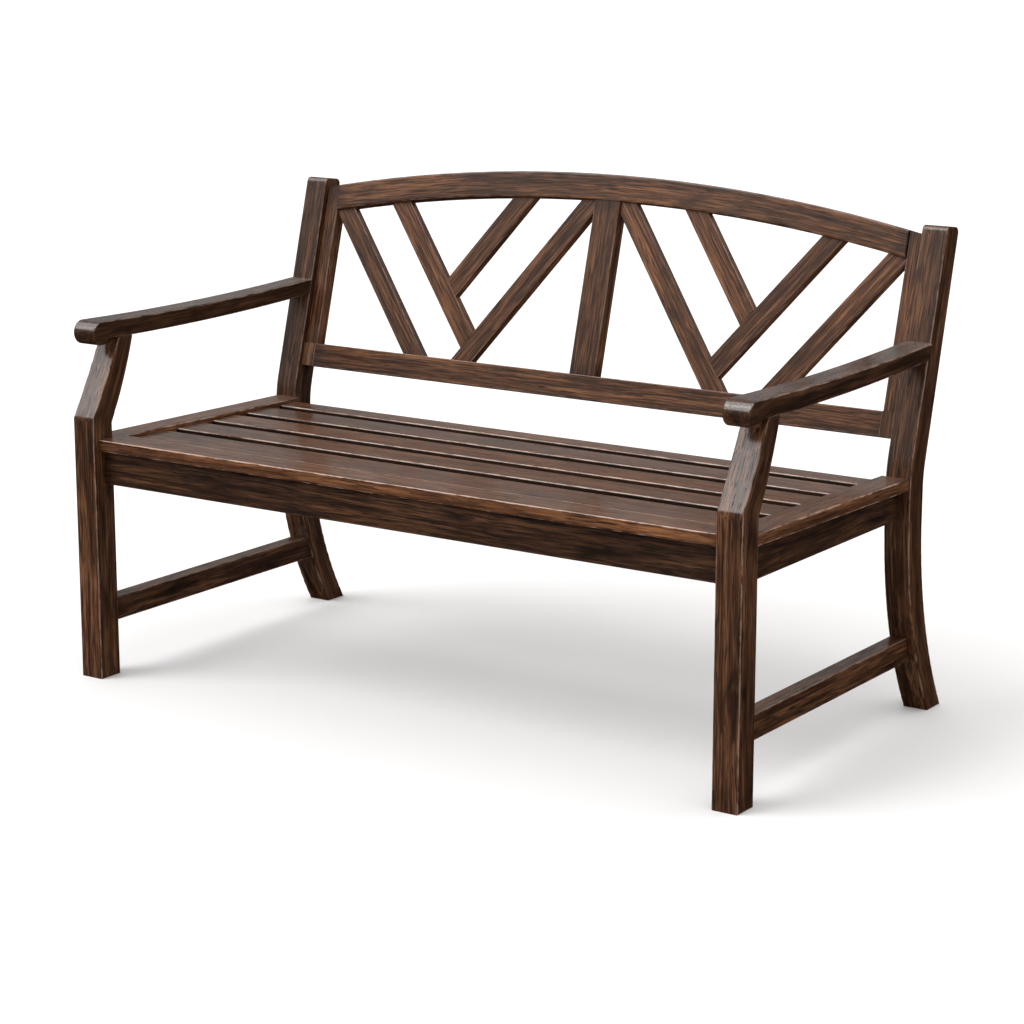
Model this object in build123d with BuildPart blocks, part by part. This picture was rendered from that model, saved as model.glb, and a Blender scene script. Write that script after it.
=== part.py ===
from build123d import *
from math import atan2, cos, degrees, radians, sin, sqrt, tan
import os

# Two-seat hall bench: solid wood, slatted seat, arched back with a chevron lattice.
# Millimetres.  X runs along the bench, Y from front to back, Z up.  The origin is on the floor,
# midway between the legs' outer faces and midway between the front legs and the top of the back.

# ---------------------------------------------------------------- overall sizes
bench_width = 1270.0            # over the outer faces of the legs
bench_depth = 680.0             # front legs' front face to the back of the top rail
seat_height = 409.0             # top of the seat frame at the front legs' front face
arm_height = 604.0              # top of an armrest above its scroll
shoulder_height = 785.0         # top of a rear leg, at its front face
crown_height = 826.0            # top of the arched rail, in the middle, before its edges are rounded

# ---------------------------------------------------------------- angles
seat_pitch = 1.0                # the seat falls towards the back
back_lean = 15.4                # the back leans from upright

# ---------------------------------------------------------------- fits
glue_gap = 0.15                 # between faces that meet in a glued joint
tenon_fit = 0.2                 # round a tenon in its mortise
pin_fit = 0.1                   # round a dowel or a screw in its hole
board_gap = 1.0                 # between a seat board and the wood beside it

# ---------------------------------------------------------------- legs
leg_width = 44.0
leg_edge = 2.0                  # rounding of a leg's long edges
front_leg_depth = 46.0
kink_height = 444.0             # where a front leg's front face turns back
kink_drop = 11.0                # how much lower its rear face turns
post_run = 70.0                 # how far the front face has gone back under the armrest
post_top_depth = 34.0           # depth of the post under the armrest
post_bow = 2.0                  # hollow of the post's front face; its rear face bows out twice that
rear_leg_depth = 46.0
rear_leg_top_depth = 41.0
foot_rake = 90.0                # how far the rear foot stands behind the straight stretch
foot_curve_height = 330.0       # where the foot's curve starts
knee_height = 410.0             # where the rear leg starts to lean
knee_radius = 160.0
shoulder_radius = 9.0           # rounded top corners

# ---------------------------------------------------------------- armrests
arm_width = 47.0
arm_sag = 4.0                   # the top is that much lower halfway
arm_rear_rise = 2.5             # and that much higher at the rear leg than above the scroll
arm_front_thickness = 30.0
arm_rear_thickness = 26.5
scroll_radius = 20.0
scroll_setback = 10.0           # the scroll's nose is that far behind the front legs' front face
scroll_hollow = 5.0             # rounding under the scroll
arm_edge = 3.0

# ---------------------------------------------------------------- rails and stretchers
rail_bottom = 332.0             # underside of the front and side rails
rail_edge = 1.5
front_rail_setback = 24.5
front_rail_thickness = 20.0
side_rail_setback = 19.0        # from the legs' outer faces
side_rail_thickness = 24.0
rear_rail_setback = 12.0        # behind the rear legs' front face
rear_rail_thickness = 22.0
stretcher_bottom = 93.0
stretcher_height = 40.0
stretcher_thickness = 28.5
stretcher_setback = 13.0        # from the legs' outer faces
tenon_thickness = 9.0
tenon_length = 22.0
tenon_shoulder = 4.0            # wood left above and below a tenon
tenon_root = 1.0                # how far a tenon starts inside its own rail
trimmed_end = 12.0              # how far before its end a curved piece runs straight, and on past it

# ---------------------------------------------------------------- seat
frame_board_thickness = 20.0
slat_thickness = 18.0
slat_drop = 6.0                 # slats lie that much lower than the seat frame
front_board_setback = 12.0
front_board_width = 56.0
end_board_setback = 3.0         # inside the legs' outer faces
end_board_overhang = 8.0        # inboard of the legs' inner faces
front_slat_gap = 23.0            # between the front board and the first slat
rear_slat_gap = 8.0             # between the last slat and the rear legs' front face
front_slat_width = 79.0
slat_width = 66.0
middle_slats = 3
rear_slat_width = 46.0
board_edge = 3.0
nosing = 5.0                    # rounding of the front board's front edges
cleat_width = 34.0
cleat_end_gap = 2.0             # between a cleat's front end and the leg
bearer_width = 32.0
bearer_height = 40.0
bearer_tenon = 9.0
block_size = 58.0               # a corner block, along each rail
block_thickness = 15.0

# ---------------------------------------------------------------- back
lower_rail_rise = 49.5          # underside of the lower back rail above the seat frame
lower_rail_height = 41.0
top_rail_height = 44.0
top_rail_edge = 3.0
arch_radius = 3000.0
back_rail_setback = 8.0         # behind the rear legs' front face
back_rail_thickness = 28.0
stile_setback = 11.0
stile_thickness = 24.0
stile_width = 25.0
center_stile_width = 50.0
lattice_setback = 16.0
lattice_thickness = 16.0
lattice_width = 35.0
lattice_edge = 1.2
outer_top_inset = 15.0          # from the opening's outer top corner to the outer long bar's middle
inner_top_inset = 6.6           # from the centre stile to the inner long bar's middle, at the top
outer_long_foot_share = 0.627   # where a bar's middle line meets the lower rail, as a share of the
inner_long_foot_share = 0.447   # way from the bench's middle to the outer end of the opening
outer_short_foot_share = 0.386  # where it would, if the bar went on to that rail
inner_short_foot_share = 0.687

# ---------------------------------------------------------------- fasteners
screw_diameter = 4.5
screw_head_diameter = 8.5
screw_head_height = 3.0
slat_screw_length = 38.0
block_screw_length = 30.0
block_screw_inset = 22.0        # from a corner block's thin end
board_dowel_diameter = 8.0
board_dowel_length = 28.0
lattice_dowel_diameter = 6.0
lattice_dowel_length = 24.0

# ---------------------------------------------------------------- worked out from those
half_width = bench_width / 2
leg_inner = half_width - leg_width
front_face = -bench_depth / 2
front_leg_back = front_face + front_leg_depth
lean = radians(back_lean)
pitch = radians(seat_pitch)


def seat_level(y, depth=0.0):
    """Height above the floor, at a place along Y, of a plane that deep under the seat frame's top."""
    return seat_height - (y - front_face) * tan(pitch) - depth / cos(pitch)


# The back's plane lies on the rear legs' front faces, from the lower rail's underside up.
back_foot_height = seat_height + lower_rail_rise
crown_reach = (crown_height - back_foot_height) / cos(lean) + back_rail_setback * tan(lean)
top_rail_back = back_rail_setback + back_rail_thickness
back_foot_y = -front_face - crown_reach * sin(lean) - top_rail_back * cos(lean)
knee_y = back_foot_y - (back_foot_height - knee_height) * tan(lean)
back_plane = Plane(
    origin=(0, back_foot_y, back_foot_height), x_dir=(1, 0, 0), z_dir=(0, -cos(lean), sin(lean))
)
seat_plane = Plane(origin=(0, front_face, seat_height), x_dir=(1, 0, 0), z_dir=(0, sin(pitch), cos(pitch)))
opening_edge = leg_inner - stile_width


def leaning_y(z):
    """Y of the rear legs' front face at a height above the knee."""
    return knee_y + (z - knee_height) * tan(lean)


def block(x, y, z, mode=Mode.ADD):
    """A box from its lowest and highest X, Y and Z."""
    with Locations(((x[0] + x[1]) / 2, (y[0] + y[1]) / 2, (z[0] + z[1]) / 2)):
        Box(x[1] - x[0], y[1] - y[0], z[1] - z[0], mode=mode)


def grown(low_high, gap):
    """The same stretch, longer by a gap at both ends."""
    return low_high[0] - gap, low_high[1] + gap


def mortise(x, y, z):
    """The hole for a tenon given by its box."""
    block(grown(x, tenon_fit), grown(y, tenon_fit), grown(z, tenon_fit), mode=Mode.SUBTRACT)


def back_block(x, s, n, gap=0.0, mode=Mode.ADD):
    """A box in the back's plane: along the bench, up the back and out of it."""
    x, s, n = grown(x, gap), grown(s, gap), grown(n, gap)
    with Locations(back_plane):
        with Locations(((x[0] + x[1]) / 2, (s[0] + s[1]) / 2, (n[0] + n[1]) / 2)):
            Box(x[1] - x[0], s[1] - s[0], n[1] - n[0], mode=mode)


def save(piece, label):
    """Name a finished piece and write its STEP file."""
    piece.part.label = label
    export_step(piece.part, f"parts/{label}.step")


def save_pair(right, name):
    """Write a right-hand piece and its mirror image."""
    with BuildPart() as left:
        mirror(right.part, about=Plane.YZ)
    save(right, f"{name}_right")
    save(left, f"{name}_left")


os.makedirs("parts", exist_ok=True)

# ---------------------------------------------------------------- tenons, each written once as its box
rail_top = seat_level(front_leg_back, frame_board_thickness)
rail_middle = (rail_bottom + rail_top) / 2
front_rail_y = (front_face + front_rail_setback, front_face + front_rail_setback + front_rail_thickness)
front_rail_axis = sum(front_rail_y) / 2
side_rail_x = (half_width - side_rail_setback - side_rail_thickness, half_width - side_rail_setback)
side_rail_axis = sum(side_rail_x) / 2
rear_rail_y = (knee_y + rear_rail_setback, knee_y + rear_rail_setback + rear_rail_thickness)
rear_rail_axis = sum(rear_rail_y) / 2
rear_rail_top = seat_level(rear_rail_y[1], slat_drop + slat_thickness + board_gap)
stretcher_x = (half_width - stretcher_setback - stretcher_thickness, half_width - stretcher_setback)
stretcher_axis = sum(stretcher_x) / 2
stretcher_z = (stretcher_bottom, stretcher_bottom + stretcher_height)
half_tenon = tenon_thickness / 2

front_rail_tenon = (
    (leg_inner - tenon_root, leg_inner + tenon_length),
    (front_rail_axis - half_tenon, front_rail_axis + half_tenon),
    (rail_bottom + tenon_shoulder, rail_middle - tenon_shoulder / 2),
)
side_rail_tenon_x = (side_rail_axis - half_tenon, side_rail_axis + half_tenon)
side_rail_tenon_z = (rail_middle + tenon_shoulder / 2, rail_top - tenon_shoulder)
rear_tenon_z = (side_rail_tenon_z[0], seat_level(knee_y, frame_board_thickness) - tenon_shoulder)
front_tenon_y = (front_leg_back - tenon_length, front_leg_back + tenon_root)
side_rail_front_tenon = (side_rail_tenon_x, front_tenon_y, side_rail_tenon_z)
side_rail_rear_tenon = (side_rail_tenon_x, (knee_y - tenon_root, knee_y + tenon_length), rear_tenon_z)
rear_rail_tenon = (
    (leg_inner - tenon_root, leg_inner + tenon_length),
    (rear_rail_axis - half_tenon, rear_rail_axis + half_tenon),
    (rail_bottom + tenon_shoulder, rail_middle - tenon_shoulder / 2),
)
stretcher_tenon_x = (stretcher_axis - half_tenon, stretcher_axis + half_tenon)
stretcher_tenon_z = (stretcher_z[0] + tenon_shoulder, stretcher_z[1] - tenon_shoulder)
foot_radius = (foot_curve_height**2 + foot_rake**2) / (2 * foot_rake)


def foot_y(z):
    """Y of the rear legs' front face at a height on the foot's curve."""
    rise = foot_curve_height - z
    return knee_y + foot_radius - sqrt(foot_radius**2 - rise**2)


stretcher_front_tenon = (stretcher_tenon_x, front_tenon_y, stretcher_tenon_z)
stretcher_rear_y = foot_y(stretcher_z[0])
stretcher_rear_tenon = (
    stretcher_tenon_x,
    (foot_y(stretcher_z[1]) - tenon_root, stretcher_rear_y + tenon_length / 2),
    stretcher_tenon_z,
)

back_rail_axis = -back_rail_setback - back_rail_thickness / 2
back_tenon_x = (opening_edge - tenon_root, leg_inner + tenon_length)
back_tenon_n = (back_rail_axis - half_tenon, back_rail_axis + half_tenon)
lower_rail_tenon_s = (tenon_shoulder, lower_rail_height - tenon_shoulder)


def arch_s(x, radius):
    """How far up the back an arch concentric with the top rail is, at a place along the bench."""
    return crown_reach - arch_radius + sqrt(radius**2 - x**2)


inner_arch = arch_radius - top_rail_height
tenon_low = arch_s(opening_edge, inner_arch) + tenon_shoulder
top_rail_tenon_s = (tenon_low, arch_s(leg_inner + tenon_length, arch_radius) - tenon_shoulder)

# An armrest stands on the post's tenon and goes into the rear leg with its own.
post_front_y = front_face + post_run
arm_underside = arm_height - arm_front_thickness
post_tenon_x = (leg_inner + tenon_length / 2, half_width - tenon_length / 2)
post_tenon_y = (post_front_y + tenon_shoulder * 2, post_front_y + post_top_depth - tenon_shoulder * 2)
post_tenon_z = (arm_underside - tenon_shoulder, arm_underside + tenon_length * 0.7)
arm_end_top = arm_height + arm_rear_rise
arm_end_bottom = arm_end_top - arm_rear_thickness
arm_tenon_n = (-tenon_length, tenon_root)
arm_tenon_s = (
    (arm_end_bottom - back_foot_height) / cos(lean) + tenon_shoulder * 1.5,
    (arm_end_top - back_foot_height) / cos(lean) - tenon_shoulder * 1.5,
)

# ---------------------------------------------------------------- seat places, and what holds the seat
bearer_y = (front_rail_y[1] + glue_gap, rear_rail_y[0] - glue_gap)
bearer_tenon_x = (-bearer_width / 2 + tenon_shoulder, bearer_width / 2 - tenon_shoulder)
cleat_top = slat_drop + slat_thickness
block_bottom = rail_bottom + board_gap
cleat_height = seat_level(knee_y, cleat_top) - block_bottom - block_thickness - board_gap
bearer_tenon_z = (
    seat_level(bearer_y[1], cleat_top + bearer_height) + 2 * tenon_shoulder,
    seat_level(bearer_y[1], cleat_top) - 2 * tenon_shoulder,
)
bearer_front_y = (front_rail_y[1] - bearer_tenon, bearer_y[0] + tenon_root)
bearer_rear_y = (bearer_y[1] - tenon_root, rear_rail_y[0] + bearer_tenon)
bearer_front_tenon = (bearer_tenon_x, bearer_front_y, bearer_tenon_z)
bearer_rear_tenon = (bearer_tenon_x, bearer_rear_y, bearer_tenon_z)

slat_starts = [front_board_setback + front_board_width + front_slat_gap]
slat_widths = [front_slat_width] + [slat_width] * middle_slats + [rear_slat_width]
last_slat_end = knee_y - front_face - rear_slat_gap
slat_gap = (last_slat_end - slat_starts[0] - sum(slat_widths)) / (len(slat_widths) - 1)
for width in slat_widths[:-1]:
    slat_starts.append(slat_starts[-1] + width + slat_gap)
end_board_inner = leg_inner - end_board_overhang
cleat_x = (side_rail_x[0] - glue_gap - cleat_width, side_rail_x[0] - glue_gap)
slat_screw_x = (cleat_x[0] + end_board_inner - board_gap) / 2
slat_screw_spots = [
    (x, start + width * share)
    for start, width in zip(slat_starts, slat_widths)
    for share in (0.25, 0.75)
    for x in (-slat_screw_x, 0, slat_screw_x)
]
board_dowel_spots = [(x, front_rail_axis - front_face) for x in (-450, -150, 150, 450)]
for along in (0.2, 0.5, 0.8):
    reach = front_leg_back + along * (knee_y - front_leg_back) - front_face
    board_dowel_spots += [(-side_rail_axis, reach), (side_rail_axis, reach)]


def screw(length, gap, mode):
    """A countersunk screw standing on its head, or the hole for it with the way in below it."""
    bottom = (Align.CENTER, Align.CENTER, Align.MIN)
    top = (Align.CENTER, Align.CENTER, Align.MAX)
    wide, thin = screw_head_diameter / 2 + gap, screw_diameter / 2 + gap
    Cylinder(thin, length + gap, align=bottom, mode=mode)
    Cone(wide, thin, screw_head_height, align=bottom, mode=mode)
    if mode == Mode.SUBTRACT:
        Cylinder(wide, block_size, align=top, mode=mode)


def slat_screws(gap=0.0, mode=Mode.ADD):
    """The screws that go up through the cleats and the bearer into the slats, or their holes."""
    with Locations(seat_plane.offset(-cleat_top - cleat_height)):
        with Locations(*slat_screw_spots):
            screw(slat_screw_length, gap, mode)


def board_dowels(gap=0.0, mode=Mode.ADD):
    """The dowels between the seat frame's boards and the rails, or their holes."""
    with Locations(seat_plane.offset(-frame_board_thickness)):
        with Locations(*board_dowel_spots):
            Cylinder(board_dowel_diameter / 2 + gap, board_dowel_length + 2 * gap, mode=mode)


def block_screws(gap=0.0, mode=Mode.ADD):
    """Two screws in each corner block, one into each rail, or their holes."""
    near = screw_head_height + block_size - block_screw_inset
    level = block_bottom + block_thickness / 2
    head = block_screw_inset - screw_head_height
    for side in (-1, 1):
        for rail_y, way in ((front_rail_y[1], 1), (rear_rail_y[0], -1)):
            into_rail = Plane(
                origin=(side * (leg_inner - near), rail_y + way * head, level), z_dir=(0, -way, 0)
            )
            into_side = Plane(
                origin=(side * (side_rail_x[0] - head), rail_y + way * near, level), z_dir=(side, 0, 0)
            )
            with Locations(into_rail, into_side):
                screw(block_screw_length, gap, mode)


# ---------------------------------------------------------------- side frames
# The arm's outline runs straight on past the rear leg's face, where it is cut off once its edges
# are rounded.
with BuildSketch() as arm_outline:
    with BuildLine():
        scroll_y = front_face + scroll_setback + scroll_radius
        arm_bend_y = leaning_y(arm_end_bottom) - trimmed_end
        middle_y = (scroll_y + arm_bend_y) / 2
        middle_top = arm_height - arm_sag
        middle_bottom = middle_top - (arm_front_thickness + arm_rear_thickness) / 2
        arm_top = ThreePointArc((scroll_y, arm_height), (middle_y, middle_top), (arm_bend_y, arm_end_top))
        Line(arm_top @ 1, arm_top @ 1 + arm_top % 1 * 3 * trimmed_end)
        arm_under = ThreePointArc(
            (scroll_y, arm_underside), (middle_y, middle_bottom), (arm_bend_y, arm_end_bottom)
        )
        Line(arm_under @ 1, arm_under @ 1 + arm_under % 1 * 3 * trimmed_end)
        Line(arm_top @ 1 + arm_top % 1 * 3 * trimmed_end, arm_under @ 1 + arm_under % 1 * 3 * trimmed_end)
        Line((scroll_y, arm_underside), (scroll_y, arm_height))
    make_face()
    with Locations((scroll_y, arm_height - scroll_radius)):
        Circle(scroll_radius)
    under_scroll = arm_outline.vertices().filter_by_position(Axis.X, scroll_y + 1, scroll_y + scroll_radius)
    fillet(under_scroll, radius=scroll_hollow)

with BuildSketch() as front_leg_outline:
    with BuildLine():
        back_kink = (front_leg_back, kink_height - kink_drop)
        front_kink = (front_face, kink_height)
        post_front = (post_front_y, arm_underside)
        post_back = (post_front_y + post_top_depth, arm_underside)
        Polyline(back_kink, (front_leg_back, 0), (front_face, 0), front_kink)
        SagittaArc(front_kink, post_front, -post_bow)
        Line(post_front, post_back)
        SagittaArc(post_back, back_kink, post_bow * 2)
    make_face()
    add(offset(arm_outline.sketch, amount=glue_gap, mode=Mode.PRIVATE), mode=Mode.SUBTRACT)

with BuildPart() as front_leg:
    with BuildSketch(Plane.YZ.offset(leg_inner)):
        add(front_leg_outline.sketch)
    extrude(amount=leg_width)
    long_edges = front_leg.edges().filter_by(Axis.X, reverse=True)
    fillet(long_edges, radius=leg_edge)
    block(post_tenon_x, post_tenon_y, post_tenon_z)
    mortise(*front_rail_tenon)
    mortise(*side_rail_front_tenon)
    mortise(*stretcher_front_tenon)
save_pair(front_leg, "front_leg")

with BuildSketch() as rear_leg_outline:
    with BuildLine():
        straight_back = knee_y + rear_leg_depth
        top_front = (leaning_y(shoulder_height), shoulder_height)
        top_back = (top_front[0] + rear_leg_top_depth, shoulder_height - rear_leg_top_depth * tan(lean) / 2)
        front_lean = FilletPolyline(
            (knee_y, foot_curve_height), (knee_y, knee_height), top_front, radius=knee_radius
        )
        back_lean_line = FilletPolyline(
            (straight_back, foot_curve_height),
            (straight_back, knee_height - kink_drop),
            top_back,
            radius=knee_radius,
        )
        Line(front_lean @ 1, back_lean_line @ 1)
        RadiusArc((knee_y, foot_curve_height), (knee_y + foot_rake, 0), -foot_radius)
        RadiusArc((straight_back, foot_curve_height), (straight_back + foot_rake, 0), -foot_radius)
        Line((knee_y + foot_rake, 0), (straight_back + foot_rake, 0))
    make_face()
    fillet(rear_leg_outline.vertices().sort_by(Axis.Y)[-2:], radius=shoulder_radius)

with BuildPart() as rear_leg:
    with BuildSketch(Plane.YZ.offset(leg_inner)):
        add(rear_leg_outline.sketch)
    extrude(amount=leg_width)
    fillet(rear_leg.edges().filter_by(Axis.X, reverse=True), radius=leg_edge)
    mortise(*side_rail_rear_tenon)
    mortise(*rear_rail_tenon)
    mortise(*stretcher_rear_tenon)
    back_block(back_tenon_x, lower_rail_tenon_s, back_tenon_n, gap=tenon_fit, mode=Mode.SUBTRACT)
    back_block(back_tenon_x, top_rail_tenon_s, back_tenon_n, gap=tenon_fit, mode=Mode.SUBTRACT)
    back_block(post_tenon_x, arm_tenon_s, arm_tenon_n, gap=tenon_fit, mode=Mode.SUBTRACT)
save_pair(rear_leg, "rear_leg")

with BuildPart() as armrest:
    with BuildSketch(Plane.YZ.offset(leg_inner)):
        add(arm_outline.sketch)
    extrude(amount=arm_width)
    arm_sides = armrest.faces().filter_by(Axis.X)
    fillet(arm_sides.edges() - armrest.faces().sort_by(Axis.Y)[-1].edges(), radius=arm_edge)
    split(bisect_by=back_plane.offset(glue_gap))
    back_block(post_tenon_x, arm_tenon_s, arm_tenon_n)
    mortise(post_tenon_x, post_tenon_y, post_tenon_z)
save_pair(armrest, "armrest")

with BuildPart() as stretcher:
    with BuildSketch(Plane.YZ.offset(stretcher_x[0])):
        with Locations(((front_leg_back + stretcher_rear_y) / 2, sum(stretcher_z) / 2)):
            Rectangle(stretcher_rear_y - front_leg_back - 2 * glue_gap, stretcher_height)
        add(offset(rear_leg_outline.sketch, amount=glue_gap, mode=Mode.PRIVATE), mode=Mode.SUBTRACT)
    extrude(amount=stretcher_thickness)
    fillet(stretcher.edges().filter_by(Axis.Y), radius=rail_edge)
    block(*stretcher_front_tenon)
    block(*stretcher_rear_tenon)
save_pair(stretcher, "side_stretcher")

with BuildPart() as side_rail:
    with BuildSketch(Plane.YZ.offset(side_rail_x[0])):
        with BuildLine():
            Polyline(
                (front_leg_back + glue_gap, rail_bottom),
                (knee_y - glue_gap, rail_bottom),
                (knee_y - glue_gap, seat_level(knee_y - glue_gap, frame_board_thickness)),
                (front_leg_back + glue_gap, seat_level(front_leg_back + glue_gap, frame_board_thickness)),
                close=True,
            )
        make_face()
    extrude(amount=side_rail_thickness)
    fillet(side_rail.faces().sort_by(Axis.Z)[0].edges().filter_by(Axis.Y), radius=rail_edge)
    block(*side_rail_front_tenon)
    block(*side_rail_rear_tenon)
    board_dowels(pin_fit, Mode.SUBTRACT)
    block_screws(pin_fit, Mode.SUBTRACT)
save_pair(side_rail, "side_rail")

# ---------------------------------------------------------------- seat frame


def rail_between_legs(y, top, tenon):
    """A rail along the bench between the legs, with a tenon at each end."""
    with BuildPart() as rail:
        with BuildSketch(Plane.YZ):
            with BuildLine():
                bottom = ((y[0], rail_bottom), (y[1], rail_bottom))
                Polyline(*bottom, (y[1], top[1]), (y[0], top[0]), close=True)
            make_face()
        extrude(amount=leg_inner - glue_gap, both=True)
        fillet(rail.faces().sort_by(Axis.Z)[0].edges().filter_by(Axis.X), radius=rail_edge)
        for side in (-1, 1):
            ends = sorted((side * tenon[0][0], side * tenon[0][1]))
            block(ends, tenon[1], tenon[2])
        mortise(*bearer_front_tenon)
        mortise(*bearer_rear_tenon)
        board_dowels(pin_fit, Mode.SUBTRACT)
        block_screws(pin_fit, Mode.SUBTRACT)
    return rail


front_rail_tops = [seat_level(y, frame_board_thickness) for y in front_rail_y]
save(rail_between_legs(front_rail_y, front_rail_tops, front_rail_tenon), "front_rail")
save(rail_between_legs(rear_rail_y, (rear_rail_top, rear_rail_top), rear_rail_tenon), "rear_rail")

with BuildPart() as bearer:
    with BuildSketch(Plane.YZ):
        with BuildLine():
            tops = [(y, seat_level(y, cleat_top)) for y in bearer_y]
            bottoms = [(y, z - bearer_height) for y, z in tops]
            Polyline(tops[0], tops[1], bottoms[1], bottoms[0], close=True)
        make_face()
    extrude(amount=bearer_width / 2, both=True)
    block(*bearer_front_tenon)
    block(*bearer_rear_tenon)
    slat_screws(pin_fit, Mode.SUBTRACT)
save(bearer, "seat_bearer")

with BuildPart() as cleat:
    with BuildSketch(seat_plane.offset(-cleat_top)):
        cleat_reach = (front_leg_back + cleat_end_gap - front_face, knee_y - glue_gap - front_face)
        with Locations((sum(cleat_x) / 2, sum(cleat_reach) / 2)):
            Rectangle(cleat_width, cleat_reach[1] - cleat_reach[0])
    extrude(amount=-cleat_height)
    slat_screws(pin_fit, Mode.SUBTRACT)
save_pair(cleat, "seat_cleat")


def corner_block(rail_y, leg_y, way):
    """A block behind a rail and beside a leg; way is 1 if it reaches back from its rail, else -1."""
    near_rail = rail_y + way * glue_gap
    near_leg = leg_y + way * glue_gap
    near_side = side_rail_x[0] - glue_gap
    with BuildPart() as corner:
        with BuildSketch(Plane.XY.offset(block_bottom)):
            with BuildLine():
                Polyline(
                    (leg_inner - block_size, near_rail),
                    (leg_inner - glue_gap, near_rail),
                    (leg_inner - glue_gap, near_leg),
                    (near_side, near_leg),
                    (near_side, near_rail + way * block_size),
                    close=True,
                )
            make_face()
        extrude(amount=block_thickness)
        block_screws(pin_fit, Mode.SUBTRACT)
    return corner


save_pair(corner_block(front_rail_y[1], front_leg_back, 1), "corner_block_front")
save_pair(corner_block(rear_rail_y[0], knee_y, -1), "corner_block_rear")

# ---------------------------------------------------------------- seat boards
front_board_back = front_board_setback + front_board_width
leg_back_reach = front_leg_depth + board_gap
with BuildPart() as front_board:
    with BuildSketch(seat_plane):
        with BuildLine():
            Polyline(
                (0, front_board_setback),
                (leg_inner - glue_gap, front_board_setback),
                (leg_inner - glue_gap, leg_back_reach - glue_gap),
                (end_board_inner, front_board_back),
                (0, front_board_back),
            )
            mirror(about=Plane.YZ)
        make_face()
    extrude(amount=-frame_board_thickness)
    front_edges = front_board.edges().filter_by(Axis.X)
    fillet(front_edges.group_by(Axis.Y)[0], radius=nosing)
    fillet(front_board.edges().filter_by(Axis.X).sort_by(Axis.Z)[-1], radius=board_edge / 2)
    board_dowels(pin_fit, Mode.SUBTRACT)
save(front_board, "seat_front_board")

with BuildPart() as end_board:
    with BuildSketch(seat_plane):
        with BuildLine():
            end_outer = half_width - end_board_setback
            end_back = knee_y - front_face - glue_gap
            Polyline(
                (leg_inner, leg_back_reach),
                (end_outer, leg_back_reach),
                (end_outer, end_back),
                (end_board_inner, end_back),
                (end_board_inner, front_board_back + glue_gap),
                close=True,
            )
        make_face()
    extrude(amount=-frame_board_thickness)
    fillet(end_board.edges().filter_by(lambda edge: abs(edge.tangent_at(0).Y) > 0.99), radius=board_edge)
    board_dowels(pin_fit, Mode.SUBTRACT)
save_pair(end_board, "seat_end_board")

for number, (start, width) in enumerate(zip(slat_starts, slat_widths), start=1):
    with BuildPart() as slat:
        with BuildSketch(seat_plane.offset(-slat_drop)):
            with Locations((0, start + width / 2)):
                Rectangle(2 * (end_board_inner - board_gap), width)
        extrude(amount=-slat_thickness)
        fillet(slat.edges().filter_by(Axis.X), radius=board_edge)
        slat_screws(pin_fit, Mode.SUBTRACT)
    save(slat, f"seat_slat_{number}")

# ---------------------------------------------------------------- back
outer_top_x = opening_edge - outer_top_inset
inner_top_x = center_stile_width / 2 + inner_top_inset


def lattice_line(foot_share, angle):
    """A bar's middle line: its foot on the lower rail and the way it leans, in degrees."""
    return Location((foot_share * opening_edge, lower_rail_height, 0), (0, 0, angle))


def lattice_angle(foot_share, top_x):
    """The lean of a bar from its foot to a place under the top rail."""
    return degrees(atan2(arch_s(top_x, inner_arch) - lower_rail_height, top_x - foot_share * opening_edge))


outer_angle = lattice_angle(outer_long_foot_share, outer_top_x)
inner_angle = lattice_angle(inner_long_foot_share, inner_top_x)
outer_bar = lattice_line(outer_long_foot_share, outer_angle)
outer_short_bar = lattice_line(outer_short_foot_share, outer_angle)
inner_short_bar = lattice_line(inner_short_foot_share, inner_angle)
inner_bar = lattice_line(inner_long_foot_share, inner_angle)
lattice_mid = -lattice_setback - lattice_thickness / 2


def meet_arch(bar):
    """Where a bar's middle line meets the underside of the top rail."""
    foot, angle = bar.position, radians(bar.orientation.Z)
    x = foot.X
    for _ in range(12):
        x = foot.X + (arch_s(x, inner_arch) - foot.Y) / tan(angle)
    return x, arch_s(x, inner_arch), lattice_mid


def meet_bar(bar, other, side):
    """Where a bar's middle line meets another bar's edge, on its side 1 or -1."""
    angle, other_angle = radians(bar.orientation.Z), radians(other.orientation.Z)
    gap_x, gap_y = bar.position.X - other.position.X, bar.position.Y - other.position.Y
    across = -gap_x * sin(other_angle) + gap_y * cos(other_angle)
    reach = (side * lattice_width / 2 - across) / sin(angle - other_angle)
    return bar.position.X + reach * cos(angle), bar.position.Y + reach * sin(angle), lattice_mid


lattice_joints = [
    Location((outer_bar.position.X, lower_rail_height, lattice_mid), (0, 0, outer_angle)),
    Location((inner_bar.position.X, lower_rail_height, lattice_mid), (0, 0, inner_angle)),
    Location(meet_bar(outer_short_bar, inner_bar, -1), (0, 0, outer_angle)),
    Location(meet_bar(inner_short_bar, outer_short_bar, 1), (0, 0, inner_angle)),
]
for bar in (outer_bar, outer_short_bar, inner_short_bar, inner_bar):
    lattice_joints.append(Location(meet_arch(bar), (0, 0, bar.orientation.Z)))
with BuildPart() as lattice_dowels:
    with Locations(back_plane):
        with Locations(*lattice_joints):
            Cylinder(lattice_dowel_diameter / 2, lattice_dowel_length, rotation=(0, 90, 0))
    mirror(about=Plane.YZ)
save(lattice_dowels, "lattice_dowels")


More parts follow.
